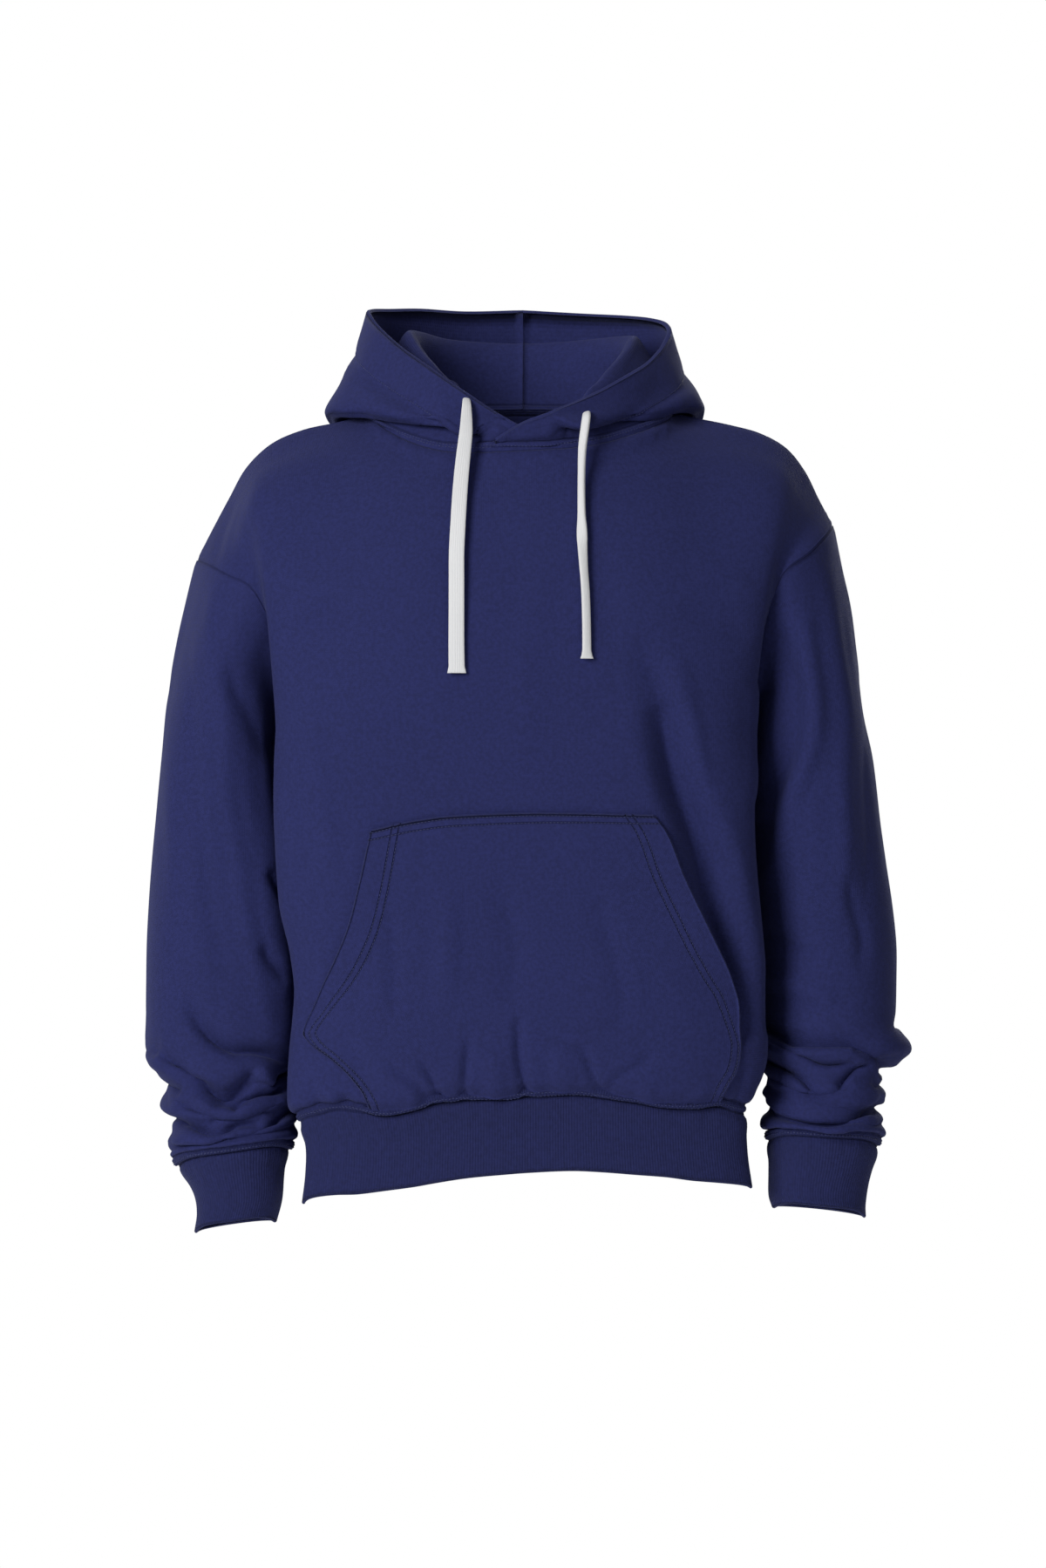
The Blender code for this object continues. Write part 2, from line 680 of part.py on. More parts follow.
def rolls(side, place):
    """How far the pushed-up rolls stand out of one ring, for each of its points."""
    turn = np.arange(2 * ARMHOLE) * math.pi / ARMHOLE
    outer, forward = (1 - np.cos(turn)) / 2, np.sin(turn)
    front, behind = np.clip(forward, 0, 1), np.clip(-forward, 0, 1)
    height = np.zeros(2 * ARMHOLE)
    for at_out, at_in, at_front, h_out, h_front, h_in, h_back, width in ROLLS[side]:
        level = at_in + (at_out - at_in) * outer
        level = level + front * (at_front - level)
        tall = h_in + (h_out - h_in) * outer
        tall = tall + front * (h_front - tall) + behind * (h_back - tall)
        gap = np.clip(np.abs(place - level) / width, 0, 1)
        height += tall * MM * (0.5 + 0.5 * np.cos(math.pi * gap))
    return height


def sleeve(side, armhole):
    table = SLEEVE[side]
    last = len(table) - 1
    numbered = [(i, *row) for i, row in enumerate(table)]
    upper, rolled = SLEEVE_STEPS
    places = np.concatenate(
        [np.linspace(0, ROLLS_FROM, upper + 1), np.linspace(ROLLS_FROM, last, rolled + 1)[1:]]
    )
    gap = armhole - oval(through(numbered, [0])[0] * MM, side)
    rows = []
    for place in places:
        ring = oval(through(numbered, [place])[0] * MM, side)
        ring = ring + gap * (1 - smooth(0, SLEEVE_FADE, place))
        middle = ring.mean(axis=0)
        ring = ring + unit((ring - middle) * [1, 1, 0.2]) * rolls(side, place)[:, None]
        rows.append(ring)
    rows[0] = armhole
    rows[-1] = oval(through(numbered, [last])[0] * MM, side)
    return Panel(rows, ring=True, facing=SIGN[side] * -1.0)


def cuff(side):
    rows = []
    numbered = [(i, *row) for i, row in enumerate(CUFF[side])]
    for place in np.linspace(0, len(numbered) - 1, 5):
        rows.append(oval(through(numbered, [place])[0] * MM, side))
    return Panel(rows, ring=True, facing=SIGN[side] * -1.0)


# ------------------------------------------------------------------ hood
def hood_profile(side, seam):
    """One line of the hood, from the neck seam over the roll, down into the fold and up to the front edge."""
    angle = math.degrees(math.atan2(abs(seam[0]), -seam[1]))
    roll_r, roll_z, fold_r, fold_z, edge_r, edge_z = through(HOOD[side], [angle])[0] * MM
    seam_r, seam_z = math.hypot(seam[0], seam[1]), seam[2]
    room = min(fold_r - roll_r, 0.040)
    dip = min((roll_z - fold_z) * 0.2, 0.009)
    high, low = roll_z - dip, fold_z + dip
    swell = float(through(HOOD_SWELL, [angle])[0, 0])
    # the fold stays clear of the cloth that rises from the neck seam
    rising = np.interp((low, fold_z), (seam_z, high), (seam_r, roll_r)) + min(LAYERS_APART, 0.5 * room)
    inside = max(fold_r - 0.36 * room, rising[0])
    bottom = max((inside + fold_r) / 2, rising[1])
    knots = [
        (seam_r, seam_z),
        ((seam_r + roll_r) / 2 - 0.06 * room, (seam_z + high) / 2),
        (roll_r - 0.12 * room, high),
        (roll_r + 0.08 * room, roll_z),
        (roll_r + 0.28 * room, high),
        ((roll_r + 0.28 * room + inside) / 2, (high + low) / 2),
        (inside, low),
        (bottom, fold_z),
        (fold_r + 0.04 * room, low),
        ((fold_r + edge_r) / 2 + swell, (low + edge_z) / 2),
        (edge_r, edge_z),
    ]
    flat = np.array([(*knot, 0.0) for knot in knots])
    at = along(flat)
    shares = np.interp(HOOD_ROWS, range(len(knots)), at / at[-1])
    profile = spline(flat, shares)
    if angle < HOOD_PLAIN[side]:
        profile = flat[0] + PLAIN_ROWS[:, None] * (flat[-1] - flat[0])
    turn = math.radians(angle) * np.sign(seam[0])
    return np.stack([profile[:, 0] * math.sin(turn), -profile[:, 0] * math.cos(turn), profile[:, 1]], axis=1)


def hood_half(side, neck):
    """One half, from its end just past the middle of the front round to the seam at the middle of the back.

    neck holds the points of the neck seam from one column past the middle of the front to the back.
    """
    lines = [hood_profile(side, seam) for seam in neck]
    upward = unit(lines[1][-1] - lines[1][0])
    lines[0] = neck[0] + HOOD_TIP * PLAIN_ROWS[:, None] * upward
    half = Panel(np.array(lines).transpose(1, 0, 2), facing=SIGN[side])
    if side == "right":
        outward = unit(unit(half.points[0] * [1, 1, 0]) + [0, 0, 0.8])
        half.moved += outward * HOOD_LAP * (1 - smooth(2, 4, np.arange(len(neck))))[:, None]
    return half


# ------------------------------------------------------------------ pocket
def front_tree(panel):
    points = panel.points + panel.moved
    return BVHTree.FromPolygons([Vector(p) for p in points.reshape(-1, 3)], triangles(points))


def gather(x, share):
    """Height of the gathers above the hem at one point of the pocket."""
    height = 0.0
    for at_x, tall, width, reach in GATHERS:
        near = max(0.0, 1 - abs(x / MM - at_x) / width)
        height += tall * MM * near * near * (3 - 2 * near) * (1 - float(smooth(0, reach, share)))
    return height


def pocket(front):
    """The pocket's points are points of the front, moved out along its own normals."""
    tree = front_tree(front)
    seam = front.points[0]
    across = np.linspace(0, 1, POCKET_COLUMNS + 1)
    crossings = across - 0.7 * np.sin(2 * math.pi * across) / (2 * math.pi)
    grid, lift = [], []
    for share, (left, right) in zip(POCKET_ROWS, through(POCKET, POCKET_ROWS) * MM):
        row, heights = [], []
        for t in crossings:
            x = left + (right - left) * t
            low = float(np.interp(x, seam[:, 0], seam[:, 2])) + POCKET_RISE
            high = float(through(POCKET_TOP, [x / MM])[0, 0]) * MM
            spot, _, _, _ = tree.ray_cast(Vector((x, -1, low + (high - low) * share)), Vector((0, 1, 0)))
            row.append(tuple(spot))
            sag = POCKET_SAG * float(smooth(0, 0.16, min(t, 1 - t)) * smooth(0, 0.12, min(share, 1 - share)))
            heights.append(FLEECE + POCKET_GAP + sag + gather(x, share))
        grid.append(row)
        lift.append(heights)
    return Panel(grid), np.array(lift)[..., None]


# ------------------------------------------------------------------ drawcords
def drawcord(side, material):
    route = np.array(CORD_ROUTE[side], float) * MM
    points = spline(route, np.linspace(0, 1, CORD_POINTS))
    curve = bpy.data.curves.new(f"drawcord_{side}", "CURVE")
    curve.dimensions = "3D"
    curve.bevel_depth = CORD_RADIUS
    curve.bevel_resolution = 2
    curve.use_fill_caps = True
    line = curve.splines.new("POLY")
    line.points.add(len(points) - 1)
    for spot, p in zip(line.points, points):
        spot.co = (*p, 1.0)
    line.use_smooth = True
    curve.materials.append(material)
    body = bpy.data.objects.new(curve.name, curve)
    bpy.context.scene.collection.objects.link(body)


def cord_hole(body, side):
    """A round hole through the hood, square to its cloth, where the drawcord comes out."""
    start, toward = (np.array(p, float) * MM for p in CORD_ROUTE[side][:2])
    direction = Vector(toward - start).normalized()
    cutter = bpy.data.objects.new(f"cord_hole_{side}", bpy.data.meshes.new(f"cord_hole_{side}"))
    mesh = bmesh.new()
    bmesh.ops.create_cone(
        mesh, cap_ends=True, segments=16, radius1=CORD_HOLE, radius2=CORD_HOLE, depth=0.014
    )
    mesh.to_mesh(cutter.data)
    mesh.free()
    cutter.location = Vector(start) + direction * 0.003
    cutter.rotation_euler = direction.to_track_quat("Z", "Y").to_euler()
    cutter.hide_render = True
    cutter.display_type = "WIRE"
    bpy.context.scene.collection.objects.link(cutter)
    cut = body.modifiers.new("cord hole", "BOOLEAN")
    cut.operation = "DIFFERENCE"
    cut.solver = "EXACT"
    cut.object = cutter


# ------------------------------------------------------------------ the whole garment
def edge(row, columns):
    return [(row, c) for c in columns]


def main():
    for item in list(bpy.data.objects):
        bpy.data.objects.remove(item, do_unlink=True)
    fleece = cloth("fleece", NAVY, 0.9)
    rib = cloth("rib", NAVY_RIB, 0.92)
    cord = cloth("cord", OFF_WHITE, 0.8)

    front, back, band = body_panel(True), body_panel(False), hem_band()
    low = len(BODY_ROWS) - 1
    top = low + ARMHOLE
    wide_front, wide_back = 2 * HALF_FRONT, 2 * HALF_BACK

    # side seams
    rows = range(low + 1)
    for column, other in ((0, wide_back), (wide_front, 0)):
        step, back_step = (1, -1) if column == 0 else (-1, 1)
        sew(
            front, [(r, column) for r in rows], [(r, column + step) for r in rows],
            back, [(r, other) for r in rows], [(r, other + back_step) for r in rows],
        )
    # shoulder seams
    for k in (0, 1):
        columns = range(SHOULDER + 1) if k == 0 else range(wide_front - SHOULDER, wide_front + 1)
        columns = list(columns)
        others = [wide_back - c for c in columns] if k == 0 else [wide_front - c for c in columns]
        sew(
            front, edge(top, columns), edge(top - 1, columns),
            back, edge(top, others), edge(top - 1, others),
        )
    # hem seam
    columns = list(range(wide_front + 1))
    ring = [c % (wide_front + wide_back) for c in columns]
    sew(front, edge(0, columns), edge(1, columns), band, edge(0, ring), edge(1, ring))
    columns = list(range(wide_back + 1))
    ring = [(wide_front + c) % (wide_front + wide_back) for c in columns]
    sew(back, edge(0, columns), edge(1, columns), band, edge(0, ring), edge(1, ring))

    # sleeves and cuffs
    sleeves, cuffs = {}, {}
    for side in SIGN:
        f = 0 if side == "left" else wide_front
        b = wide_back if side == "left" else 0
        forward = front.points[low : top + 1, f]
        behind = back.points[low : top + 1, b]
        loop = np.concatenate([forward, behind[::-1][1:-1]])
        sleeves[side] = sleeve(side, loop)
        cuffs[side] = cuff(side)
        inward = 1 if side == "left" else -1
        rows = list(range(low, top + 1))
        ring = list(range(ARMHOLE + 1))
        sew(
            front, [(r, f) for r in rows], [(r, f + inward) for r in rows],
            sleeves[side], edge(0, ring), edge(1, ring),
        )
        ring = [(-k) % (2 * ARMHOLE) for k in range(ARMHOLE + 1)]
        sew(
            back, [(r, b) for r in rows], [(r, b - inward) for r in rows],
            sleeves[side], edge(0, ring), edge(1, ring),
        )
        ring = list(range(2 * ARMHOLE))
        sew(
            sleeves[side], edge(sum(SLEEVE_STEPS), ring), edge(sum(SLEEVE_STEPS) - 1, ring),
            cuffs[side], edge(0, ring), edge(1, ring),
        )

    # hood halves, sewn to the front, the back and each other
    hoods = {}
    for side in SIGN:
        turn = int(SIGN[side])
        front_columns = [HALF_FRONT + turn * k for k in range(-1, NECK_FRONT + 1)]
        back_columns = [HALF_BACK - turn * k for k in range(NECK_BACK, -1, -1)]
        neck = [front.points[top, c] for c in front_columns]
        neck += [back.points[top, c] for c in back_columns[1:]]
        hoods[side] = hood_half(side, neck)
        ring = list(range(len(front_columns)))
        sew(
            front, edge(top, front_columns), edge(top - 1, front_columns),
            hoods[side], edge(0, ring), edge(1, ring),
        )
        ring = list(range(len(front_columns) - 1, len(neck)))
        sew(
            back, edge(top, back_columns), edge(top - 1, back_columns),
            hoods[side], edge(0, ring), edge(1, ring),
        )
    end = NECK_FRONT + NECK_BACK + 1
    rows = range(len(HOOD_ROWS))
    sew(
        hoods["left"], [(r, end) for r in rows], [(r, end - 1) for r in rows],
        hoods["right"], [(r, end) for r in rows], [(r, end - 1) for r in rows],
    )

    pocket_panel, pocket_lift = pocket(front)
    wall("front", front, FLEECE, fleece)
    wall("back", back, FLEECE, fleece)
    wall("hem_band", band, RIB, rib)
    for side in SIGN:
        wall(f"sleeve_{side}", sleeves[side], FLEECE, fleece)
        wall(f"cuff_{side}", cuffs[side], RIB, rib)
    hood_left = wall("hood_left", hoods["left"], FLEECE, fleece)
    hood_right = wall("hood_right", hoods["right"], FLEECE, fleece)
    cord_hole(hood_left, "left")
    cord_hole(hood_right, "right")
    wall("pocket", pocket_panel, FLEECE, fleece, lift=pocket_lift)
    for side in SIGN:
        drawcord(side, cord)


main()
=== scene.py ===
"""Looks of the worn pullover hoodie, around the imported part.

Each panel is built again from the garment's own tables as a fine grid, gets its creases, puckers and sewing,
and becomes a thin shell of knit cloth. The front faces -Y and +X is the wearer's left.
Tables are in millimetres; "left" is the side at -X. Everything else is in metres.
"""

import math

import bpy
import numpy as np
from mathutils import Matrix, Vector
from mathutils.bvhtree import BVHTree

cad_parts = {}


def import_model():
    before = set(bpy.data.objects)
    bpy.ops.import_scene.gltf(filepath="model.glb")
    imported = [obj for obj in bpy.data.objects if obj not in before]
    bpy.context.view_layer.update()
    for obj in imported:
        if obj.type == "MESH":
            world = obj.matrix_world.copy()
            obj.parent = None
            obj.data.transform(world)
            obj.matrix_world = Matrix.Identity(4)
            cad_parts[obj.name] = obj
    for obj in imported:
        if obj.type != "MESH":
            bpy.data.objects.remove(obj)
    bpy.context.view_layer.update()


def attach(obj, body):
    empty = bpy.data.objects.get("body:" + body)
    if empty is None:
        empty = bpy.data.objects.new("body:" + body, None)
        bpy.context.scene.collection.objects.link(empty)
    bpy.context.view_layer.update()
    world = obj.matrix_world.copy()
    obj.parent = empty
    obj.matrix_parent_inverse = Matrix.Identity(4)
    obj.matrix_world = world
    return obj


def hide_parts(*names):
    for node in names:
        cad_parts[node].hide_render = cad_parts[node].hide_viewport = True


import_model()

MM = 0.001

# ---------------- camera, light and floor
IMAGE = (1200, 1799)  # the picture's size in pixels
METRES_PER_PIXEL = 0.00075  # in the plane of the neck, y = 0
CAMERA_AWAY = 3.5
CAMERA_Z = -0.3146
SENSOR = 36.0  # mm, along the picture's long side
FLOOR_Z = -1.42  # the neck hangs as high above the floor as it would on a standing wearer
FLOOR_RADIUS, FLOOR_SIDES = 1.9, 96
WORLD_STRENGTH = 0.18
# place | what it points at | size | watts
LIGHTS = {
    "key": ((-2.0, -2.8, 0.75), (0, 0, -0.45), (1.5, 1.9), 86.0),
    "fill": ((1.6, -3.2, 0.0), (0, 0, -0.35), (1.6, 2.0), 4.5),
    "top": ((-0.3, 0.2, 2.0), (0, 0, -0.2), (1.8, 1.4), 3.0),
    "back_left": ((-2.3, 2.5, 0.9), (0, 0, -0.35), (1.8, 2.0), 27.0),
    "back": ((1.1, 3.2, 0.9), (0, 0, -0.35), (1.4, 1.8), 46.0),
    "back_right": ((2.2, 2.5, 0.6), (0, 0, -0.35), (1.8, 2.0), 8.0),
}

# ---------------- colours, linear
WHITE = (1.0, 1.0, 1.0, 1.0)
FLOOR_GREY = (0.95, 0.95, 0.95, 1.0)
NAVY = (0.0255, 0.0305, 0.124, 1.0)
NAVY_RIB = (0.0210, 0.0255, 0.100, 1.0)
THREAD = (0.030, 0.038, 0.135, 1.0)
OFF_WHITE = (0.96, 0.97, 1.0, 1.0)
SHEEN = (0.45, 0.50, 0.95, 1.0)

# ---------------- driving dimensions, as the part has them
FLEECE = 0.0022  # thickness of the brushed sweatshirt cloth
RIB = 0.0030  # doubled rib of the hem band and cuffs
SEAM_GAP = 0.0003  # between the edges of two pieces that are sewn together
UNDERARM_Z = -0.265  # level where the side seams end under the arms
SEAM_Y = 0.008  # the side seams run a little behind the middle
FOLD_Y = -0.080  # depth of the fold where the front turns to the side
BACK_FOLD_Y = 0.068
OVAL = 0.88  # power of the sleeves' section: 1 is an ellipse, and less is fuller
SIGN = {"left": -1.0, "right": 1.0}
COLUMNS_OF = {"left": 0, "right": 1}

# ---------------- how finely the solids are divided
NECK_FRONT = 8  # columns from the middle of the front to the top of the shoulder seam
NECK_BACK = 6
SHOULDER = 7  # columns along a shoulder seam
SIDE = 4  # of the columns, those on the side, past the fold
ARMHOLE = 10  # rows along half an armhole
HALF_FRONT = NECK_FRONT + SHOULDER
HALF_BACK = NECK_BACK + SHOULDER
BAND_ROWS, CUFF_ROWS = 4, 5

# ---------------- body: one row a level, in millimetres
# share of the way up from the hem seam to the underarm | front and back in y | half width at the front fold,
# left and right | how far the side is tucked in under the arm, left and right
BODY = (
    (0.00, -121, 105, 187, 184, 5, 4),
    (0.03, -130, 112, 196, 191, 9, 8),
    (0.07, -133, 114, 197, 199, 14, 10),
    (0.15, -134, 112, 196, 205, 18, 13),
    (0.24, -134, 110, 193, 205, 19, 15),
    (0.32, -133, 109, 191, 204, 20, 15),
    (0.42, -133, 110, 195, 201, 24, 16),
    (0.54, -133, 112, 204, 198, 27, 16),
    (0.72, -134, 116, 208, 194, 28, 14),
    (0.90, -136, 120, 210, 194, 27, 14),
    (1.00, -136, 121, 211, 196, 27, 16),
)
# where the body's rows lie, as shares of the same way up
BODY_ROWS = (0, 0.018, 0.04, 0.07, 0.12, 0.18, 0.25, 0.33, 0.42, 0.52, 0.62, 0.72, 0.82, 0.91, 0.965, 1)
BACK_NARROWER = 0.007  # each half of the back, where it turns to the side
UNDERARM_FLARE = 0.009  # the side turns out to meet the sleeve
UNDERARM_RISE = (0.94, 1.0)  # shares of the way up between which it turns out
TUCK_UNTIL, FLARE_FROM = 0.8, 0.4  # shares of the way from the fold to the side seam
FULLNESS = {True: 2.7, False: 2.5}  # of the sections in front and behind: 2 is an ellipse
SEAM_ARCH = {True: 0.8, False: 1.0}  # the hem seam's rise to its middle in front and behind: 1 is a cosine
CROWD = 0.05  # low down, columns lie closer together where the body turns to the side
CROWD_ENDS = (0.40, 0.75)  # shares of the way up between which that ends
RELAX_SHARE, RELAX_ROUNDS = 0.6, 3  # how much the grid is evened out near the armholes
NEAR_ARM, NEAR_TOP = (6, 2), (4, -1)  # from and to how many points before the side, and the underarm
# height of the hem seam and of the band's lower edge: left side, front middle, right side, back middle
HEM_SEAM_Z = (-601, -575, -588, -603)
HEM_EDGE_Z = (-668, -638, -656, -668)
# the hem band from its seam to its edge: share | front and back | half width left and right | tuck
HEM_BAND = (
    (0.0, -121, 105, 187, 184, 5, 4),
    (0.2, -118, 104, 181, 185, 4, 4),
    (0.6, -117, 105, 181, 187, 3, 3),
    (1.0, -118, 107, 184, 191, 3, 3),
)

# ---------------- neck seam, shoulders and armholes
# angle from the front | z left, right
NECK_HALF_WIDTH = (130, 128)
NECK_FRONT_Y = 87
NECK_BACK_Y = 80
NECK = (
    (0, -31, -31),
    (17, -32, -29),
    (30, -31, -25),
    (41, -26, -19),
    (53, -18, -12),
    (76, -2, 0),
    (90, 4, 4),
    (130, 12, 12),
    (180, 14, 14),
)
# shoulder seam, from the neck to its low end on the upper arm: half width and z, left then right
SHOULDER_SEAM = (
    (130, 4, 128, 4),
    (170, -6, 170, -4),
    (200, -13, 202, -12),
    (217, -22, 221, -21),
    (234, -37, 238, -38),
    (256, -74, 253, -66),
    (281, -122, 267, -92),
)
SHOULDER_Y = (0, 5)  # depth of the shoulder seam at its two ends
# armhole from the underarm to the shoulder seam: half width, y, z on the left, then on the right
ARMHOLE_FRONT = (
    (199, -32, -240, 193, -32, -238),
    (207, -55, -203, 199, -56, -197),
    (218, -73, -166, 210, -74, -156),
    (231, -75, -147, 223, -77, -133),
    (250, -63, -138, 240, -67, -121),
    (270, -30, -127, 259, -34, -102),
)
ARMHOLE_BACK = (
    (199, 42, -240, 193, 42, -238),
    (207, 64, -203, 199, 64, -197),
    (218, 80, -166, 210, 81, -156),
    (231, 79, -147, 223, 81, -133),
    (250, 67, -136, 242, 67, -118),
    (270, 36, -125, 259, 36, -100),
)
# lines that shape the chest and the back above the underarm, by column from the middle:
# half width left and right, y, z
FRONT_LINES = {
    0: ((0, 0, -133, -190), (0, 0, -120, -115), (0, 0, -102, -62)),
    6: ((121, 119, -129, -190), (122, 121, -113, -112), (123, 122, -78, -48)),
    11: ((213, 199, -92, -200), (214, 202, -97, -155), (217, 207, -88, -105), (218, 215, -58, -55)),
    13: (
        (209, 198, -72, -204),
        (214, 203, -86, -164),
        (222, 211, -84, -136),
        (229, 220, -72, -110),
        (242, 236, -42, -70),
    ),
    14: ((208, 199, -64, -204), (212, 203, -77, -179), (218, 209, -83, -157), (229, 221, -77, -133)),
}
BACK_LINES = {
    0: ((0, 0, 126, -190), (0, 0, 123, -118), (0, 0, 107, -52)),
    6: ((120, 118, 118, -190), (123, 121, 107, -110), (128, 126, 78, -45), (134, 132, 36, -8)),
    9: ((203, 195, 93, -200), (208, 202, 97, -150), (214, 211, 88, -100), (218, 216, 60, -52)),
    11: (
        (205, 197, 76, -204),
        (211, 203, 90, -164),
        (221, 212, 90, -134),
        (230, 222, 78, -108),
        (243, 238, 46, -70),
    ),
    12: ((207, 198, 70, -203), (213, 204, 83, -178), (219, 210, 90, -155), (230, 222, 85, -131)),
}

# ---------------- sleeves: one ring a row, in millimetres
# outer side: half width, z | inner side: half width, z | middle y, half depth. The first ring is the armhole.
SLEEVE = {
    "left": (
        (281, -122, 193, -265, 6, 84),
        (291, -165, 209, -267, 6, 83),
        (300, -205, 215, -289, 7, 85),
        (306, -245, 213, -321, 8, 87),
        (310, -285, 208, -352, 9, 87),
        (314, -325, 202, -383, 9, 86),
        (317, -365, 199, -412, 8, 84),
        (320, -410, 197, -444, 6, 81),
        (322, -455, 195, -477, 2, 78),
        (322, -500, 195, -508, -4, 75),
        (322, -535, 195, -535, -10, 71),
        (312, -560, 197, -556, -15, 66),
        (303, -580, 197, -574, -19, 62),
        (299, -600, 197, -591, -24, 58),
        (298, -620, 197, -606, -29, 54),
        (295, -636, 198, -622, -34, 47),
    ),
    "right": (
        (267, -92, 189, -265, 6, 84),
        (276, -138, 202, -267, 6, 83),
        (286, -185, 206, -289, 7, 85),
        (294, -240, 202, -321, 8, 87),
        (301, -285, 197, -352, 9, 87),
        (305, -325, 194, -383, 9, 86),
        (309, -365, 193, -412, 8, 84),
        (315, -410, 195, -444, 6, 81),
        (319, -455, 198, -477, 2, 78),
        (319, -490, 201, -502, -3, 75),
        (318, -512, 204, -520, -8, 72),
        (318, -535, 206, -538, -12, 68),
        (309, -562, 209, -560, -17, 64),
        (303, -584, 211, -578, -22, 60),
        (303, -602, 209, -597, -28, 55),
        (302, -619, 209, -614, -34, 47),
    ),
}
SLEEVE_STEPS = (12, 19)  # rings down to the first of the rolls, and along the rolls
ROLLS_FROM = 9.5  # where the rolls begin, in rings of the table
ROLLS_OUT = (1, 1, 0.2)  # they stand out sideways more than up and down
SLEEVE_FADE = 7  # over the first of the rings above, the armhole's own shape fades out
# rolls of pushed-up cloth: ring of the table at the outer side | at the inner side | at the front |
# height of the ridge out, in front, in and behind | half width in rings
ROLLS = {
    "left": (
        (10.2, 10.6, 10.8, 6, 5, 2, 5, 0.75),
        (12.3, 11.9, 12.6, 9, 6, 4, 6, 0.55),
        (14.0, 13.4, 13.7, 4, 5, 4, 6, 0.45),
        (14.9, 14.5, 14.7, 5, 6, 3, 5, 0.45),
    ),
    "right": (
        (11.15, 10.6, 10.9, 15, 6, 3, 7, 0.82),
        (12.9, 11.9, 12.4, 6, 5, 5, 6, 0.55),
        (13.9, 13.0, 13.7, 3, 6, 5, 6, 0.50),
        (14.6, 14.3, 14.5, 6, 7, 5, 5, 0.45),
    ),
}
# cuff from its seam to its edge, columns as for the sleeves
CUFF = {
    "left": (
        (295, -636, 198, -622, -34, 47),
        (283, -655, 205, -637, -36, 40),
        (276, -675, 206, -662, -38, 35),
        (278, -695, 211, -686, -40, 33),
    ),
    "right": (
        (302, -619, 209, -614, -34, 47),
        (297, -640, 211, -632, -36, 40),
        (290, -668, 210, -660, -38, 35),
        (290, -682, 213, -674, -40, 34),
    ),
}

# ---------------- hood, by angle from the front
# top of the roll round the neck | bottom of the fold that hangs outside | front edge: radius and z of each
HOOD = {
    "left": (
        (0, 86, -24, 90, -24, 88, -17),
        (14, 86, -24, 92, -24, 89, -5),
        (27, 86, -18, 97, -21, 93, 9),
        (39, 82, 17, 106, -15, 97, 22),
        (52, 80, 28, 113, -10, 100, 36),
        (71, 82, 46, 131, -4, 107, 54),
        (90, 88, 60, 160, 1, 121, 74),
        (103, 97, 70, 165, -3, 132, 88),
        (115, 104, 75, 166, -17, 140, 94),
        (134, 106, 77, 171, -60, 146, 99),
        (157, 105, 76, 168, -106, 152, 106),
        (180, 104, 75, 167, -122, 155, 109),
    ),
    "right": (
        (0, 87, -24, 90, -24, 89, -16),
        (14, 88, -20, 98, -21, 92, -7),
        (27, 84, -11, 102, -17, 94, 3),
        (34, 82, 9, 103, -14, 96, 9),
        (46, 81, 20, 107, -11, 101, 20),
        (57, 79, 32, 113, -7, 105, 30),
        (72, 81, 46, 126, -1, 110, 42),
        (88, 87, 59, 150, 4, 119, 59),
        (101, 94, 70, 158, 2, 129, 75),
        (116, 103, 75, 165, -17, 138, 88),
        (134, 106, 77, 171, -60, 145, 97),
        (157, 105, 76, 168, -106, 152, 104),
        (180, 104, 75, 167, -122, 155, 109),
    ),
}
# where each row of points lies along the profile, counted in the profile's knots
HOOD_ROWS = (0, 1, 1.6, 2, 2.5, 3, 3.5, 4, 5, 6, 6.5, 7, 7.5, 8, 9, 10)
PLAIN_ROWS = np.append(0, np.linspace(0.25, 1, len(HOOD_ROWS) - 1))  # the same where there is no fold
HOOD_SWELL = ((0, 0.0), (40, -0.002), (100, -0.002), (180, 0.014))  # angle | how far its outside bulges out
# the wearer's right back corner stands higher and spreads wider: from and to which z, and -x for each
HOOD_CORNER = ((0.05, 0.08), (0.06, 0.10), (0.09, 0.14))
HOOD_ROOM, HOOD_DIP = 0.040, (0.2, 0.009)  # most room in the fold; how far the knots beside its turns dip
# shares of that room: by how much its knots stand in or out, and where its inner side is
RISE_IN, ROLL_IN, TOP_OUT, DOWN_OUT, FRONT_OUT, INSIDE = 0.06, 0.12, 0.08, 0.28, 0.04, 0.36
LAP_UP, LAP_COLUMNS = 0.8, (2, 4)  # the front half also stands a little higher; columns where that ends
HOOD_PLAIN = {"left": 20, "right": 17}  # below this angle the half has no fold
HOOD_LAP = 0.0046  # how far the wearer's left half stands in front of the other, where they cross
HOOD_TIP = 0.0025  # height of a half at its end past the middle
LAYERS_APART = 0.0042  # least distance between the middles of two layers of the fold

# ---------------- pocket, on the front
POCKET_RISE = 0.002  # its lower edge above the hem seam
POCKET_GAP = 0.0009  # between the pocket and the front where it is sewn down
POCKET_SAG = 0.0025  # how far the pocket stands off the front in its middle
# gathers above the hem: x | height of the ridge | half width | how far up they reach
GATHERS = (
    (-76, 3.0, 9, 0.22),
    (-58, 2.4, 9, 0.30),
    (-26, 3.0, 13, 0.26),
    (10, 2.6, 12, 0.30),
    (46, 2.6, 13, 0.22),
    (84, 2.2, 14, 0.26),
)

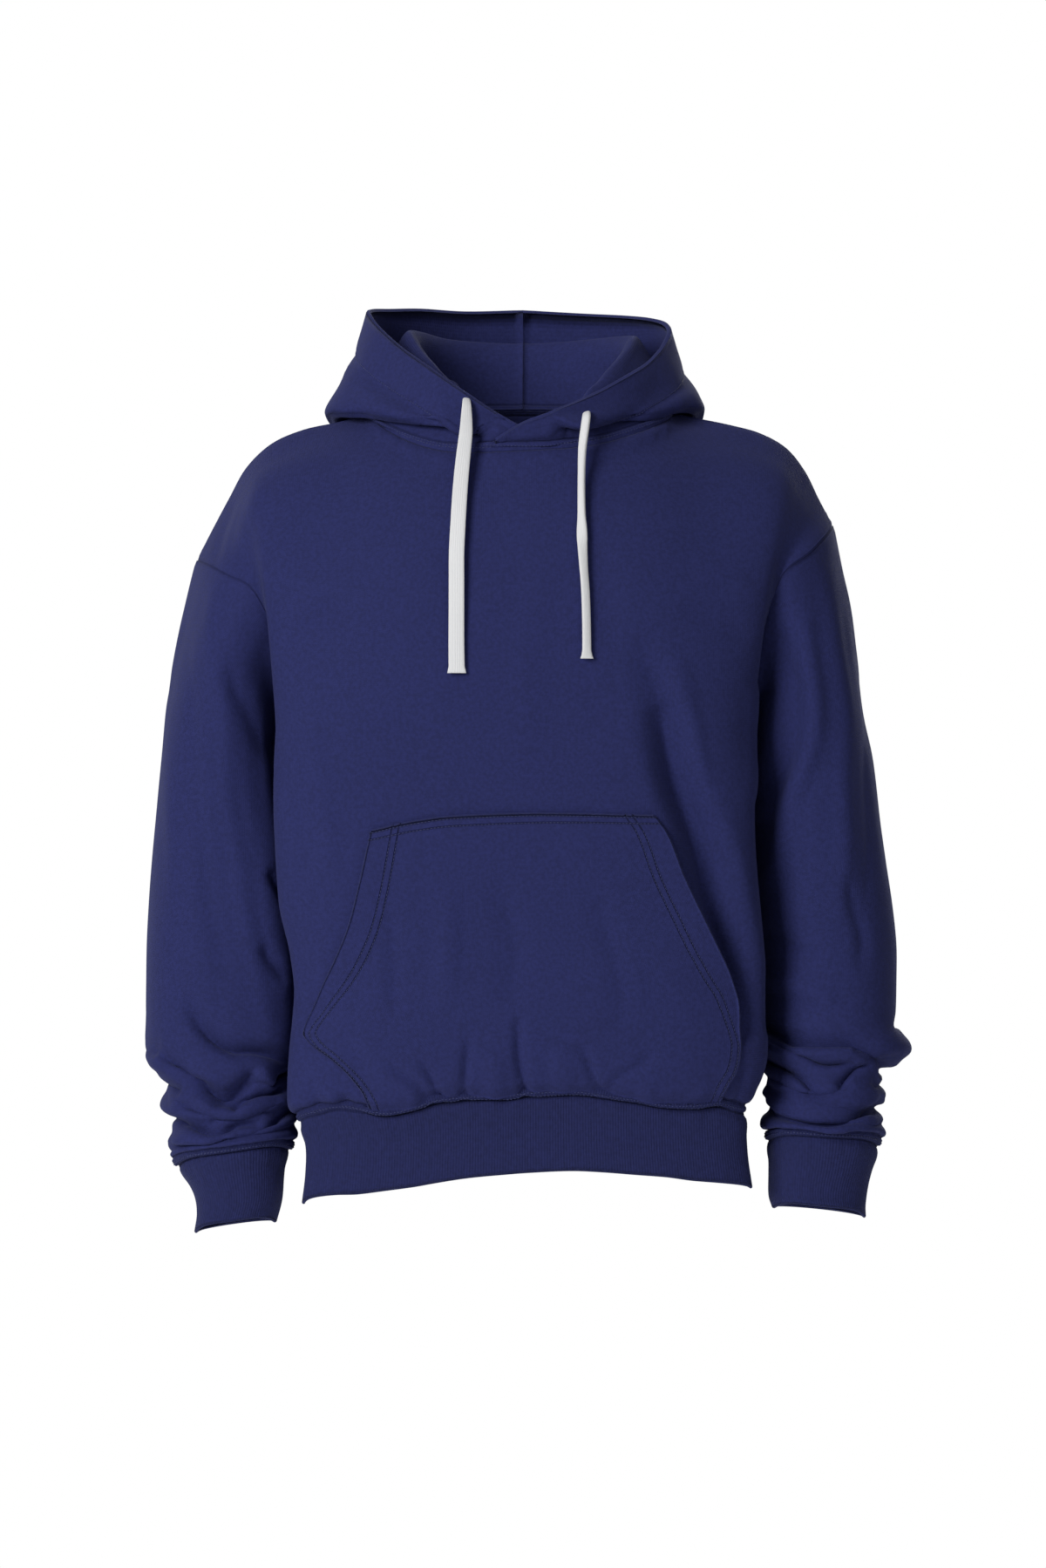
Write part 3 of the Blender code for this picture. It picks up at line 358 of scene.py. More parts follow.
# ---------------- drawcords: points of each route
CORD_ROUTE = {
    "left": (
        (-47.5, -79, 8),
        (-47.4, -86, 7.5),
        (-47.2, -91, 4),
        (-47.2, -94, -3),
        (-47.6, -96, -18),
        (-49.5, -101, -37),
        (-51.5, -108, -58),
        (-53.0, -116, -80),
        (-54.0, -123, -100),
        (-55.0, -129, -122),
        (-55.0, -134, -146),
        (-55.0, -137, -172),
        (-55.0, -139, -200),
        (-54.7, -140, -223),
    ),
    "right": (
        (53.4, -82, -5),
        (53.3, -90.5, -4.3),
        (53.0, -96, -7.5),
        (52.0, -98.5, -15),
        (49.8, -102, -32),
        (48.8, -108, -56),
        (48.6, -115, -76),
        (48.8, -121, -95),
        (49.2, -127, -114),
        (50.2, -132, -134),
        (51.6, -135, -154),
        (52.4, -138, -178),
        (52.8, -140, -211),
    ),
}

# ---------------- how much finer each cloth is
FINER = 6  # fine points for one of the solid's, wherever pieces are sewn to each other
FINER_BAND = 7  # the same down each other piece
FINER_CUFF = 8
FINER_HOOD = 8
POCKET_GRID = (96, 150)
EDGE_ROUND = 4  # steps round a free edge
EVEN_ROUNDS = 160  # how much the kinks of the chest and the shoulders are evened out
EVEN_SIDE, EVEN_LOW, EVEN_HIGH = (6, 3), (4, 0), (1.2, 0.1)  # from and to how many points before each end
UNDERARM_ROW = len(BODY_ROWS) - 1
TOP_ROW = UNDERARM_ROW + ARMHOLE
NECK_COLUMNS = (  # columns of the front's and of the back's last row that are sewn to the hood
    slice((HALF_FRONT - NECK_FRONT) * FINER, (HALF_FRONT + NECK_FRONT) * FINER),
    slice((HALF_BACK - NECK_BACK) * FINER, (HALF_BACK + NECK_BACK) * FINER),
)

# ---------------- creases, one row each, in millimetres:
# height (below 0 for a trough) | half width | points x, z
FRONT_FOLDS = (
    (-7.0, 22, (97, -195), (111, -240), (125, -290), (143, -358), (160, -425), (178, -493), (190, -527)),
    (-17.5, 27, (110, -250), (122, -288), (135, -330), (150, -370), (164, -420), (176, -470), (187, -506),
     (194, -530)),
    (1.4, 14, (168, -340), (180, -385), (190, -430), (197, -480)),
    (2.4, 15, (128, -210), (140, -280), (150, -320)),
    (4.5, 18, (197, -232), (198, -262), (199, -300), (197, -330)),
    (-2.2, 8, (-262, -128), (-254, -96), (-244, -65)),
    (1.6, 12, (-238, -122), (-232, -90), (-222, -60)),
    (-1.8, 14, (-196, -196), (-170, -180), (-138, -172)),
    (1.5, 16, (-196, -170), (-166, -152), (-130, -146)),
    (-1.6, 16, (188, -196), (160, -176), (130, -168)),
    (1.4, 15, (196, -160), (168, -140), (140, -132)),
    (-2.4, 12, (-200, -300), (-186, -340), (-180, -400)),
    (-2.0, 13, (-196, -420), (-184, -460), (-168, -500)),
    (1.6, 14, (-180, -250), (-166, -330), (-160, -400)),
    (-1.2, 20, (-60, -120), (-50, -180), (-48, -250)),
    (1.0, 24, (10, -130), (4, -210), (0, -300)),
    (-1.0, 18, (64, -110), (70, -170), (84, -230)),
    (-3.0, 9, (-178, -560), (-172, -580), (-168, -596)),
    (2.4, 8, (-160, -566), (-158, -590)),
    (-2.6, 8, (-148, -570), (-146, -590)),
    (-2.4, 9, (182, -548), (180, -570), (174, -588)),
)
BACK_FOLDS = (
    (-2.6, 18, (-150, -160), (-120, -230), (-104, -310), (-112, -400)),
    (-2.4, 16, (146, -180), (120, -260), (110, -350), (124, -430)),
    (2.0, 20, (-60, -130), (-52, -240), (-60, -360)),
    (1.8, 22, (40, -150), (52, -280), (44, -420)),
    (-2.0, 16, (-10, -180), (-6, -300), (-14, -430)),
    (-3.0, 14, (-190, -200), (-160, -196), (-120, -212)),
    (-2.6, 13, (184, -196), (152, -190), (112, -204)),
    (2.2, 13, (-186, -176), (-152, -168), (-112, -178)),
    (2.0, 14, (182, -172), (150, -162), (116, -170)),
    (-3.2, 12, (-176, -520), (-130, -530), (-80, -522), (-30, -530)),
    (-2.8, 11, (170, -508), (124, -522), (70, -514), (20, -524)),
    (3.4, 13, (-170, -548), (-120, -556), (-60, -548), (-10, -556)),
    (3.0, 12, (164, -540), (110, -550), (60, -542)),
    (-2.4, 9, (-150, -574), (-100, -580), (-50, -574)),
    (-2.2, 9, (140, -566), (90, -574), (30, -570)),
    (-1.8, 9, (-70, -560), (-66, -596)),
    (-1.8, 9, (60, -560), (64, -596)),
    (-1.6, 12, (-30, -60), (-60, -90), (-100, -110)),
    (-1.6, 12, (30, -60), (64, -92), (104, -108)),
)
SLEEVE_FRONT_FOLDS = {
    "left": (
        (3.0, 13, (-262, -140), (-261, -193), (-250, -275), (-246, -344), (-235, -410), (-225, -471),
         (-211, -527)),
        (-2.6, 13, (-284, -180), (-280, -260), (-274, -340), (-262, -420), (-250, -480)),
        (3.0, 14, (-226, -230), (-219, -300), (-214, -380), (-208, -450), (-204, -500)),
        (2.6, 13, (-240, -236), (-236, -290), (-231, -340), (-223, -400), (-214, -460)),
        (-6.0, 16, (-340, -534), (-322, -538), (-304, -536)),
        (2.0, 12, (-302, -240), (-298, -330), (-292, -420)),
        (-12.0, 13, (-284, -496), (-274, -510), (-259, -525), (-244, -532), (-224, -535), (-210, -540),
         (-194, -551)),
        (-14.0, 13, (-308, -540), (-297, -546), (-280, -556), (-266, -567), (-255, -573), (-241, -569),
         (-224, -553)),
        (-3.4, 12, (-248, -214), (-236, -250), (-222, -280), (-208, -300)),
        (-7.0, 8, (-216, -388), (-206, -404), (-196, -422)),
        (-6.4, 9, (-222, -452), (-211, -468), (-201, -482)),
        (7.5, 11, (-226, -556), (-216, -562), (-208, -568)),
        (-10.5, 6.5, (-216, -567), (-206, -562), (-190, -556)),
        (-9.0, 5.5, (-247, -583), (-240, -578), (-228, -575), (-202, -573)),
        (-8.4, 5.5, (-290, -584), (-279, -587), (-240, -589), (-205, -583)),
        (-7.4, 5, (-264, -598), (-256, -593), (-244, -591), (-206, -591)),
        (-8.0, 5.5, (-292, -600), (-277, -603), (-254, -604), (-243, -598), (-220, -598)),
        (-6.6, 5.5, (-242, -607), (-224, -606), (-198, -592)),
        (-7, 8, (-316, -568), (-299, -571), (-288, -575)),
        (-6.3, 7, (-312, -598), (-294, -599), (-284, -601)),
        (4.5, 10, (-300, -583), (-284, -579), (-262, -581)),
        (4.5, 10, (-296, -615), (-276, -612), (-252, -613)),
    ),
    "right": (
        (3.6, 13, (253, -122), (260, -169), (269, -238), (270, -358), (269, -431)),
        (-3.0, 12, (288, -150), (292, -238), (292, -350), (290, -430)),
        (7.0, 16, (206, -238), (207, -262), (206, -290), (205, -325), (204, -350)),
        (4.5, 12, (236, -170), (244, -238), (242, -286), (227, -330), (215, -375), (210, -405)),
        (-7.5, 14, (220, -180), (227, -240), (223, -290), (210, -332)),
        (-4.0, 10, (272, -393), (280, -420), (286, -440), (283, -472)),
        (3.4, 13, (200, -478), (231, -484), (262, -498)),
        (-3.0, 12, (204, -440), (226, -452), (250, -462)),
        (-13.1, 10, (196, -521), (209, -522), (254, -527), (297, -533), (320, -542)),
        (-16.0, 10, (280, -532), (298, -539), (308, -549), (308, -562)),
        (-8.8, 6, (205, -529), (216, -532), (235, -540), (250, -547), (283, -548)),
        (-9, 6, (262, -566), (274, -558), (284, -552), (292, -549)),
        (-9.5, 6, (202, -548), (212, -551), (231, -557), (246, -567), (258, -571), (275, -567)),
        (-9.0, 6, (198, -561), (208, -563), (237, -571), (254, -574)),
        (-8.8, 8, (200, -590), (209, -592), (227, -595), (270, -598), (294, -585), (306, -580)),
        (-5.0, 7, (322, -566), (305, -568), (292, -564)),
        (-6.3, 7, (322, -589), (299, -589), (286, -588)),
        (5.2, 10, (300, -578), (276, -582), (250, -584), (222, -578)),
        (4.5, 7, (300, -601), (270, -606), (240, -602)),
    ),
}
SLEEVE_BACK_FOLDS = {
    "left": (
        (3.0, 15, (-270, -170), (-268, -260), (-262, -350), (-250, -430)),
        (-3.0, 13, (-246, -210), (-238, -300), (-236, -390)),
        (-2.6, 14, (-298, -220), (-296, -320), (-290, -420)),
        (-10.5, 12, (-318, -500), (-290, -512), (-252, -506), (-216, -520), (-194, -532)),
        (-9.6, 11, (-314, -552), (-286, -548), (-250, -560), (-214, -552)),
        (-8.8, 10, (-306, -584), (-270, -592), (-240, -584), (-206, -590)),
        (-7, 7, (-290, -606), (-262, -604), (-228, -612)),
        (6, 11, (-300, -534), (-268, -530), (-232, -540)),
        (-3.6, 8, (-268, -470), (-240, -482), (-206, -478)),
    ),
    "right": (
        (3.2, 15, (262, -170), (268, -260), (266, -350), (262, -430)),
        (-3.0, 13, (236, -200), (240, -300), (238, -380)),
        (-2.6, 14, (290, -220), (296, -320), (294, -410)),
        (-11.4, 12, (322, -520), (292, -516), (250, -524), (212, -514), (196, -520)),
        (-9.6, 10, (316, -552), (284, -560), (250, -550), (210, -558)),
        (-8.8, 10, (304, -584), (270, -578), (236, -588), (206, -580)),
        (-6.6, 7, (296, -604), (266, -600), (228, -604)),
        (6, 11, (304, -538), (272, -544), (236, -536)),
        (-3.6, 8, (282, -470), (250, -478), (214, -470)),
    ),
}
POCKET_FOLDS = (
    (-2.2, 13, (-106, -420), (-108, -460), (-106, -510)),
    (-5.4, 8, (-3, -505), (-2, -545), (1, -574), (2, -606)),
    (-4.2, 7, (-43, -524), (-46, -545), (-50, -572), (-54, -602)),
    (-4.6, 7, (-84, -540), (-77, -556), (-69, -576), (-62, -604)),
    (-3.4, 8, (-112, -548), (-94, -559), (-76, -575), (-62, -592)),
    (-3.0, 8, (50, -530), (56, -550), (63, -572), (70, -602)),
    (-2.6, 9, (112, -538), (93, -549), (73, -562), (58, -584)),
    (2.2, 15, (-22, -535), (-24, -600)),
    (2.0, 16, (32, -530), (34, -600)),
    (2.2, 12, (-92, -566), (-98, -604)),
    (2.0, 14, (100, -560), (106, -600)),
    (2.2, 45, (-84, -470), (0, -505), (100, -480)),
    (-2.0, 20, (-20, -390), (-8, -440), (-12, -500)),
    (-1.8, 18, (60, -400), (76, -460), (84, -520)),
    (-1.8, 14, (-150, -520), (-136, -545), (-128, -575)),
    (1.8, 16, (-60, -400), (-64, -500)),
)
POCKET_BRIM = ((-125, -353.5), (-89, -345.5), (-58, -341.5), (14, -339), (108, -341))  # its upper edge: x, z
HOOD_FOLDS = {
    "left": (
        (-4.2, 8, (-148, 42), (-126, 28), (-100, 6), (-74, -8), (-52, -16)),
        (2.2, 10, (-140, 18), (-112, -2), (-86, -12)),
        (-1.6, 8, (-150, 22), (-140, 4), (-128, -4)),
        (1.6, 9, (-112, 52), (-92, 30), (-60, 10)),
    ),
    "right": (
        (-3.6, 8, (144, 36), (118, 16), (92, -1), (66, -12)),
        (1.8, 9, (146, 22), (120, 4), (96, -6)),
        (-1.6, 8, (152, 20), (138, 4), (124, -3)),
        (1.5, 9, (112, 34), (86, 16), (56, 0)),
    ),
}
# the pocket's side edges by level, left and right x: sewn down below the corner, the openings above it
POCKET_CUT = (
    (0.00, -126, 163),
    (0.03, -129, 166),
    (0.07, -136, 170),
    (0.113, -145, 175),
    (0.16, -157, 178),
    (0.21, -169, 179),
    (0.25, -177.5, 178.5),
    (0.273, -180.5, 178),
    (0.30, -179, 178),
    (0.345, -174, 177.5),
    (0.43, -165, 171.5),
    (0.53, -153.5, 160),
    (0.65, -143, 147),
    (0.78, -135.5, 132.5),
    (0.943, -127.5, 117),
    (1.00, -125, 108),
)

# ---------------- sewing, in metres
SEAM_DIP = (0.0010, 0.0028)  # a plain seam's groove: depth, half width
PUCKER = (0.00035, 0.012, 0.0085)  # small waves beside a seam: height, reach, spacing
PUCKER_FROM, PUCKER_UNEVEN = (0.001, 0.004), (1.5, 0.031)  # where they begin, and how their spacing varies
SEAM_HOLD = 0.008  # creases fade out this near to a seam
BESIDE_DIP = (0.0016, 0.0052, 0.0021)  # beside the raised seams: depth, distance from the seam, width
BESIDE_SWELL = (0.0017, 0.0130, 0.0070)
BESIDE_WAVE = (0.7, 0.3, 0.023)  # the swell's least share, how much of it comes and goes, over what length
BESIDE_ENDS = 8  # columns over which it fades out
CASING_END, CASING_SEAM = 0.02, 0.012  # the casing's relief fades out towards its end and the neck seam
DROOP, DROOP_BASE, DROOP_ROWS = 0.35, 0.001, 16  # share of it that sinks, what always does, usual over rows
DROOP_FADE, DROOP_EDGE = 0.03, 0.014  # it begins over this height, and fades out at the cuff's seam
SAG, SAG_MOST = 0.66, 0.012  # share of a trough's depth that the cloth above hangs down, and at most
SAG_LEVEL = (-0.01, 0.03)  # it fades out between these heights over the rolls' top
ROUND_OFF, HOOD_ROUND_OFF = 2, 6  # rounds of smoothing
BAND_TALL = 0.0025  # height of the raised, coverstitched seams
STITCH = (0.0030, 0.0021, 0.00042)  # spacing, length and radius of one stitch
CASING_FAINT = 0.0008
CASING = 0.034  # from the hood's edge to the stitches of its casing
CASING_RELIEF = ((-0.0016, 0.035, 0.005), (0.0016, 0.050, 0.008))  # height, distance from the edge, width
DOUBLED = 0.0011  # a folded hem makes the cloth this much thicker on each side
HEMMED = 0.0004  # and the pocket's openings
LAP_RISE = 0.4  # share of the hood's height at its crossing over which the front half leaves the seam
CROSSING = (4.0, 24)  # the neck's raised seam runs on evenly past the crossing: reach in points, rounds
BAND_LINES = (0.0002, 0.0012, 0.0024, 0.0033)  # the raised seams' lines, from the seam out on both sides
UNEVEN = 0.0008  # height of the waves all over
FOLDS_SEEN = (-0.35, 0.05)  # creases show where the cloth faces their side of the garment this much
WANDER, WANDER_OVER = 1.2, (17, 13)  # in mm: how far they wander, and over what length
TROUGH = (1.7, 0.8)  # how sharp a trough's bottom is, and how full its sides
FADE = (4, 0.5)  # towards a crease's ends: share of the length, power
SAG_REACH = (0.95, 0.42)  # above and below a trough, in its half widths
HOOD_SPREAD, HOOD_RISE = 0.0065, 0.005
HOOD_HOLD = (0.01, 0.02)  # it isn't rounded off this near to the neck seam and the front edge
# the inner half of the sleeves' fronts: flatter than an oval (power below OVAL) or drawn in behind the body,
# and between which levels
INNER_FRONT = {"left": (0.22, -0.13, -0.52), "right": (1.9, -0.27, -0.50)}
INNER_LOW, INNER_HIGH, INNER_EDGE = 0.04, 0.08, (0.003, 0.06)  # it fades out below, above, at the armhole
CUFF_SEAM_ARCH = (0.009, 0.028)  # the cuff seams arch up in front: rise, reach of it on the cloth
CUFF_EDGE_ARCH = (0.0085, 0.045)  # the cuffs' edges the same
HEM_MORE, HEM_WAVE = 0.0030, 0.0007  # the hem seam over the pocket's edge: higher, and wavy
HEM_CAUGHT, HEM_WAVES = (12, 3), (0.0105, 0.0173)  # outside and inside the pocket's corners, in mm; lengths
HEM_EDGE_RISE = 0.007  # the hem's edge runs level round the sides
HEM_SIDE = ((-0.088, -0.045), (0.075, 0.1))  # y where the front turns to the side, and the side to the back
HEM_TURN = (-0.035, 0.03)  # y between which the edge's shifts pass from the front's to the back's
# gathers pull the hem seam up and down, in mm: x | seam in front | edge in front | seam and edge behind
HEM_SHIFT = (
    (-230, 0, -5, 0),
    (-172, 0, -6.5, 1),
    (-157, 2, -7.3, 2),
    (-136, -1.5, -9, 3.5),
    (-112, -6.5, -8.2, 5),
    (-93, -4, -7.2, 6.5),
    (-72, 1.5, -4.9, 8),
    (-47, 3, -2.2, 9),
    (-17, 2.5, -0.1, 10),
    (4, 5.5, 1.4, 10),
    (46, 7, 3.4, 9.5),
    (68, 4.5, 2.8, 8.5),
    (93, 1.5, 1.7, 7),
    (118, -2, 0.9, 5),
    (144, -1.5, -1.1, 3),
    (161, 1, -1.4, 2),
    (180, -3, -1.7, 1),
    (200, 0, -2, 0),
    (230, 0, -1, 0),
)
HEM_SHIFT_REACH = 0.05  # up the front and the back
HEM_BACK_RISE = (0.012, 0.19)  # the edge is higher in the middle of the back: height, reach
ROLLS_TOP = -0.50  # below this level the sleeves are pushed up in rolls
PAIR = 0.0062  # between the two rows of a double seam on the pocket
POCKET_TOP_ROW = 0.0018  # the first row, from the pocket's top edge
# the first row from the pocket's side edges, by level: sewn down at the bottom, the openings' hems above
POCKET_SIDE_ROW = ((0, 1.8), (0.20, 1.8), (0.26, 5), (0.34, 12.5), (0.46, 19), (0.70, 19.5), (1, 18))
POCKET_OPEN = 0.0034  # how far the openings' edges stand off
OPEN_WIDE, OPEN_LEVELS = 0.022, ((0.36, 0.55), (0.9, 1.0))  # over what width, and its shares of the height
SAG_SIDE, SAG_END = 0.16, 0.12  # the pocket's sag grows over these shares of its width and height
POCKET_HOLD = 0.006  # its creases fade out this near to the top
STEEPEST = 0.6  # the cloth is moved no farther than where it faces the front this much
GATHERED = 0.2  # of the solid's gathers; the creases do the rest
GROOVE = {"raised": (4.3, 1.9), "plain": (0.0, 1.5), "pair": (0.0, 1.15)}  # place and half width, in mm
GROOVE_DEPTH = 0.0011
# how much of the painted shade in the sewing's grooves goes into the cloth's colour
PAINTED_GROOVE_SHADE_WEIGHT = 0.38
FAR = 0.05  # stands for any distance that is too long to matter
THREAD_LIFT = 0.00015
BAND_SUNK, BAND_THICK = 0.0002, 0.0006  # how far below the cloth their strip starts, and its own thickness
SPINDLE = ((-0.5, 0.05), (-0.28, 0.85), (0.28, 0.85), (0.5, 0.05))  # a stitch: place | radius, in its own
SPINDLE_SIDES = 6

# ---------------- the knit and the braid
KNIT = (1.5, 1.2, 0.22)  # in mm: width of a column of loops, height of a row, depth
RIB_KNIT, RIBS = (1.1, 1.2, 0.20), (2.3, 0.18)  # the same, and the ribs' spacing and height
LOOP_LEAN, LOOP_TALL, COLUMN_TALL, NAP_TALL = 1.6, 0.35, 0.65, 1.1
NAP, FIBRES, DYE = (900.0, 3.0, 0.65), (330.0, 2.0, 0.6), (9.0, 3.0, 0.55)  # noise: scale, detail, roughness
FIBRES_LOW, FIBRES_HIGH = 0.34, 0.66  # noise keeps near its middle; this stretch of it is spread over 0 to 1
KNIT_BUMP, RIB_BUMP, BRAID_BUMP, BRAID_DEPTH = 0.6, 0.7, 0.5, 0.25  # strengths; the braid's depth in mm
DYES, SPECKS, PAINTED_GROOVE_SHADE_TONE = (0.90, 1.10), (0.72, 1.28), 0.25  # how dark and how light the dye and the fibres are, and how dark the painted shade in the sewing's grooves is, as shares of the colour
STRAND = 1.7  # mm between the strands of the braid
BRAID_FUZZ, THREAD_FUZZ = 1100.0, 1500.0  # scale of their noise

# ---------------- drawcords
CORD_WIDTH = 0.0135
# share of the length | width | thickness in mm | turn from facing forward, in degrees
CORD_SHAPE = {
    "left": (
        (0.00, 5.5, 4.0, 10),
        (0.05, 7.5, 3.4, 14),
        (0.10, 9.6, 2.8, 12),
        (0.18, 11.6, 2.4, 6),
        (0.35, 12.6, 2.2, 0),
        (0.50, 12.8, 2.2, -4),
        (0.975, 13.4, 2.1, 2),
        (0.988, 14.6, 1.8, 2),
        (1.00, 15.8, 1.3, 2),
    ),
    "right": (
        (0.00, 5.0, 4.0, -16),
        (0.05, 7.0, 4.2, -20),
        (0.12, 7.6, 4.2, -24),
        (0.30, 6.4, 4.4, -30),
        (0.44, 6.8, 4.2, -24),
        (0.53, 9.0, 3.8, -8),
        (0.60, 8.0, 4.0, 16),
        (0.70, 7.2, 4.2, 24),
        (0.965, 7.6, 4.0, 20),
        (0.985, 9.0, 3.4, 14),
        (1.00, 11.2, 2.4, 10),
    ),
}
CORD_STEPS = 220
CORD_SIDES = 20

# ---------------- the cut of each cloth, as it shows
# width, length, flat area in metres, all round on a tube | how it is held | what it is sewn to
CUTS = {
    "front": (0.64, 0.65, 0.35, "draped", ("back", "hem_band")),
    "back": (0.62, 0.68, 0.34, "draped", ("front", "hem_band")),
    "hem_band": (1.09, 0.065, None, "stretched", ("front", "back")),
    "sleeve_left": (0.51, 0.57, 0.21, "gathered", ("front", "back")),
    "sleeve_right": (0.51, 0.57, 0.21, "gathered", ("front", "back")),
    "cuff_left": (0.255, 0.065, None, "stretched", ("sleeve_left",)),
    "cuff_right": (0.255, 0.065, None, "stretched", ("sleeve_right",)),
    "hood_left": (0.40, 0.54, 0.115, "folded", ("front", "back")),
    "hood_right": (0.40, 0.54, 0.11, "folded", ("front", "back")),
    "pocket": (0.36, 0.25, 0.075, "laid", ("front",)),
}


# ---------------- curves through tables
def hermite(place, value, tangent, at):
    """A smooth curve with the given values and tangents at its knots, at each place."""
    i = np.clip(np.searchsorted(place, at, side="right") - 1, 0, len(place) - 2)
    h = np.diff(place)[i, None]
    t = (at - place[i])[:, None] / h
    return (
        value[i] * (1 + 2 * t) * (1 - t) ** 2
        + tangent[i] * h * t * (1 - t) ** 2
        + value[i + 1] * t * t * (3 - 2 * t)
        + tangent[i + 1] * h * t * t * (t - 1)
    )


def through(rows, at):
    """Values at each place through rows whose first column is the place, smooth and without overshoot."""
    table = np.array(rows, float)
    place, value = table[:, 0], table[:, 1:]
    at = np.clip(np.atleast_1d(np.array(at, float)), place[0], place[-1])
    step = np.diff(place)[:, None]
    slope = np.diff(value, axis=0) / step
    tangent = np.zeros_like(value)
    tangent[0], tangent[-1] = slope[0], slope[-1]
    before, after = 2 * step[1:] + step[:-1], step[1:] + 2 * step[:-1]
    same = slope[:-1] * slope[1:] > 0
    low, high = (np.where(same, part, 1.0) for part in (slope[:-1], slope[1:]))
    tangent[1:-1] = np.where(same, (before + after) / (before / low + after / high), 0.0)
    return hermite(place, value, tangent, at)


def along(points):
    """How far along a line each of its points is."""
    return np.concatenate([[0.0], np.cumsum(np.linalg.norm(np.diff(points, axis=0), axis=1))])


def spline(points, shares):
    """Points at the given shares of the length of a rounded line through the points."""
    points = np.array(points, float)
    at = along(points)
    step = np.diff(at)[:, None]
    slope = np.diff(points, axis=0) / step
    tangent = np.empty_like(points)
    tangent[0], tangent[-1] = slope[0], slope[-1]
    tangent[1:-1] = (slope[:-1] * step[1:] + slope[1:] * step[:-1]) / (step[1:] + step[:-1])
    return hermite(at, points, tangent, np.array(shares, float) * at[-1])


def points_at(places, at, points):
    """Points at some places on a line whose own points are at others."""
    return np.stack([np.interp(places, at, points[:, k]) for k in range(3)], axis=1)


def even(points, count, crowd=0.0):
    """The line again, as count stretches of the same length, or closer together where it turns."""
    at = along(points)
    if crowd:
        step = unit(np.diff(points, axis=0))
        turned = np.linalg.norm(np.diff(step, axis=0), axis=1)
        at = at + crowd * np.cumsum([0.0, *turned, 0.0])
    return points_at(np.linspace(0, at[-1], count + 1), at, points)


def relax(points, share, rounds):
    """Rounds off a grid: each inner point goes part of the way to the middle of those next to it."""
    points = points.copy()
    for _ in range(rounds):
        middle = (points[:-2, 1:-1] + points[2:, 1:-1] + points[1:-1, :-2] + points[1:-1, 2:]) / 4
        points[1:-1, 1:-1] += share[1:-1, 1:-1, None] * (middle - points[1:-1, 1:-1])
    return points


def even_out(points, rounds, share):
    """Takes the kinks out of a grid from side to side, where share is above 0."""
    points = points.copy()
    for _ in range(rounds):
        middle = (points[:, :-2] + points[:, 2:]) / 2
        points[:, 1:-1] += share[:, 1:-1, None] * (middle - points[:, 1:-1]) / 2
    return points


def round_off(points, rounds, share):
    """Takes them out down the grid instead."""
    return np.swapaxes(even_out(np.swapaxes(points, 0, 1), rounds, share.T), 0, 1).copy()


def smooth(low, high, x):
    """0 below low, 1 above high, and an S-curve between them."""
    t = np.clip((np.array(x, float) - low) / (high - low), 0, 1)
    return t * t * (3 - 2 * t)


def before(end, reach, x):
    """The same curve between two distances before an end."""
    return smooth(end - reach[0], end - reach[1], x)


def hump(x):
    """1 at 0, falling in a cosine to 0 at 1 on both sides."""
    return 0.5 + 0.5 * np.cos(math.pi * x)


def bell(far, place, width):
    return np.exp(-(((far - place) / width) ** 2))


def unit(v):
    return v / np.maximum(np.linalg.norm(v, axis=-1, keepdims=True), 1e-12)


def power(value, exponent):
    return np.sign(value) * np.abs(value) ** exponent


# ---------------- body
def half_section(middle, width, tuck, flare, fold_y, on_fold, fullness, crowd):
    """Half a level section, from the middle of the front or back to the side seam, at +X."""
    angle = np.linspace(0, math.pi / 2, 200)
    x = width * power(np.sin(angle), 2 / fullness)
    y = fold_y + (middle - fold_y) * power(np.cos(angle), 2 / fullness)
    face = even(np.stack([x, y, np.zeros_like(x)], axis=1), on_fold, crowd)
    t = np.linspace(0, 1, SIDE + 1)[1:]
    x = width - tuck * smooth(0, TUCK_UNTIL, t) + flare * smooth(FLARE_FROM, 1, t)
    y = fold_y + (SEAM_Y - fold_y) * t
    return np.concatenate([face, np.stack([x, y, np.zeros_like(x)], axis=1)])


def whole_section(row, front, share=0.0):
    """A level section from side seam to side seam: left to right in front, right to left behind."""
    front_y, back_y, left, right, tuck_left, tuck_right = row
    middle, fold_y, half = (front_y, FOLD_Y, HALF_FRONT) if front else (back_y, BACK_FOLD_Y, HALF_BACK)
    less = 0.0 if front else min(BACK_NARROWER, tuck_left / 2, tuck_right / 2)
    flare = UNDERARM_FLARE * float(smooth(*UNDERARM_RISE, share))
    crowd = CROWD * (1 - float(smooth(*CROWD_ENDS, share)))
    shape = (flare, fold_y, half - SIDE, FULLNESS[front], crowd)
    a = half_section(middle, left - less, tuck_left - less, *shape) * [-1, 1, 1]
    b = half_section(middle, right - less, tuck_right - less, *shape)
    return np.concatenate([a[::-1], b[1:]]) if front else np.concatenate([b[::-1], a[1:]])


def level_of(corners, front):
    """Heights along a seam round the body, from its heights at the sides and the middles."""
    left, front_z, right, back_z = np.array(corners) * MM
    half, middle = (HALF_FRONT, front_z) if front else (HALF_BACK, back_z)
    t = np.linspace(-1, 1, 2 * half + 1)
    side = np.where(t < 0, left, right) if front else np.where(t < 0, right, left)
    return side + (middle - side) * hump(t) ** SEAM_ARCH[front]


def lower_body(front):
    seam = level_of(HEM_SEAM_Z, front)
    rows = []
    for share, row in zip(BODY_ROWS, through(BODY, BODY_ROWS) * MM):
        section = whole_section(row, front, share)
        section[:, 2] = seam + (UNDERARM_Z - seam) * share
        rows.append(section)
    return np.array(rows)


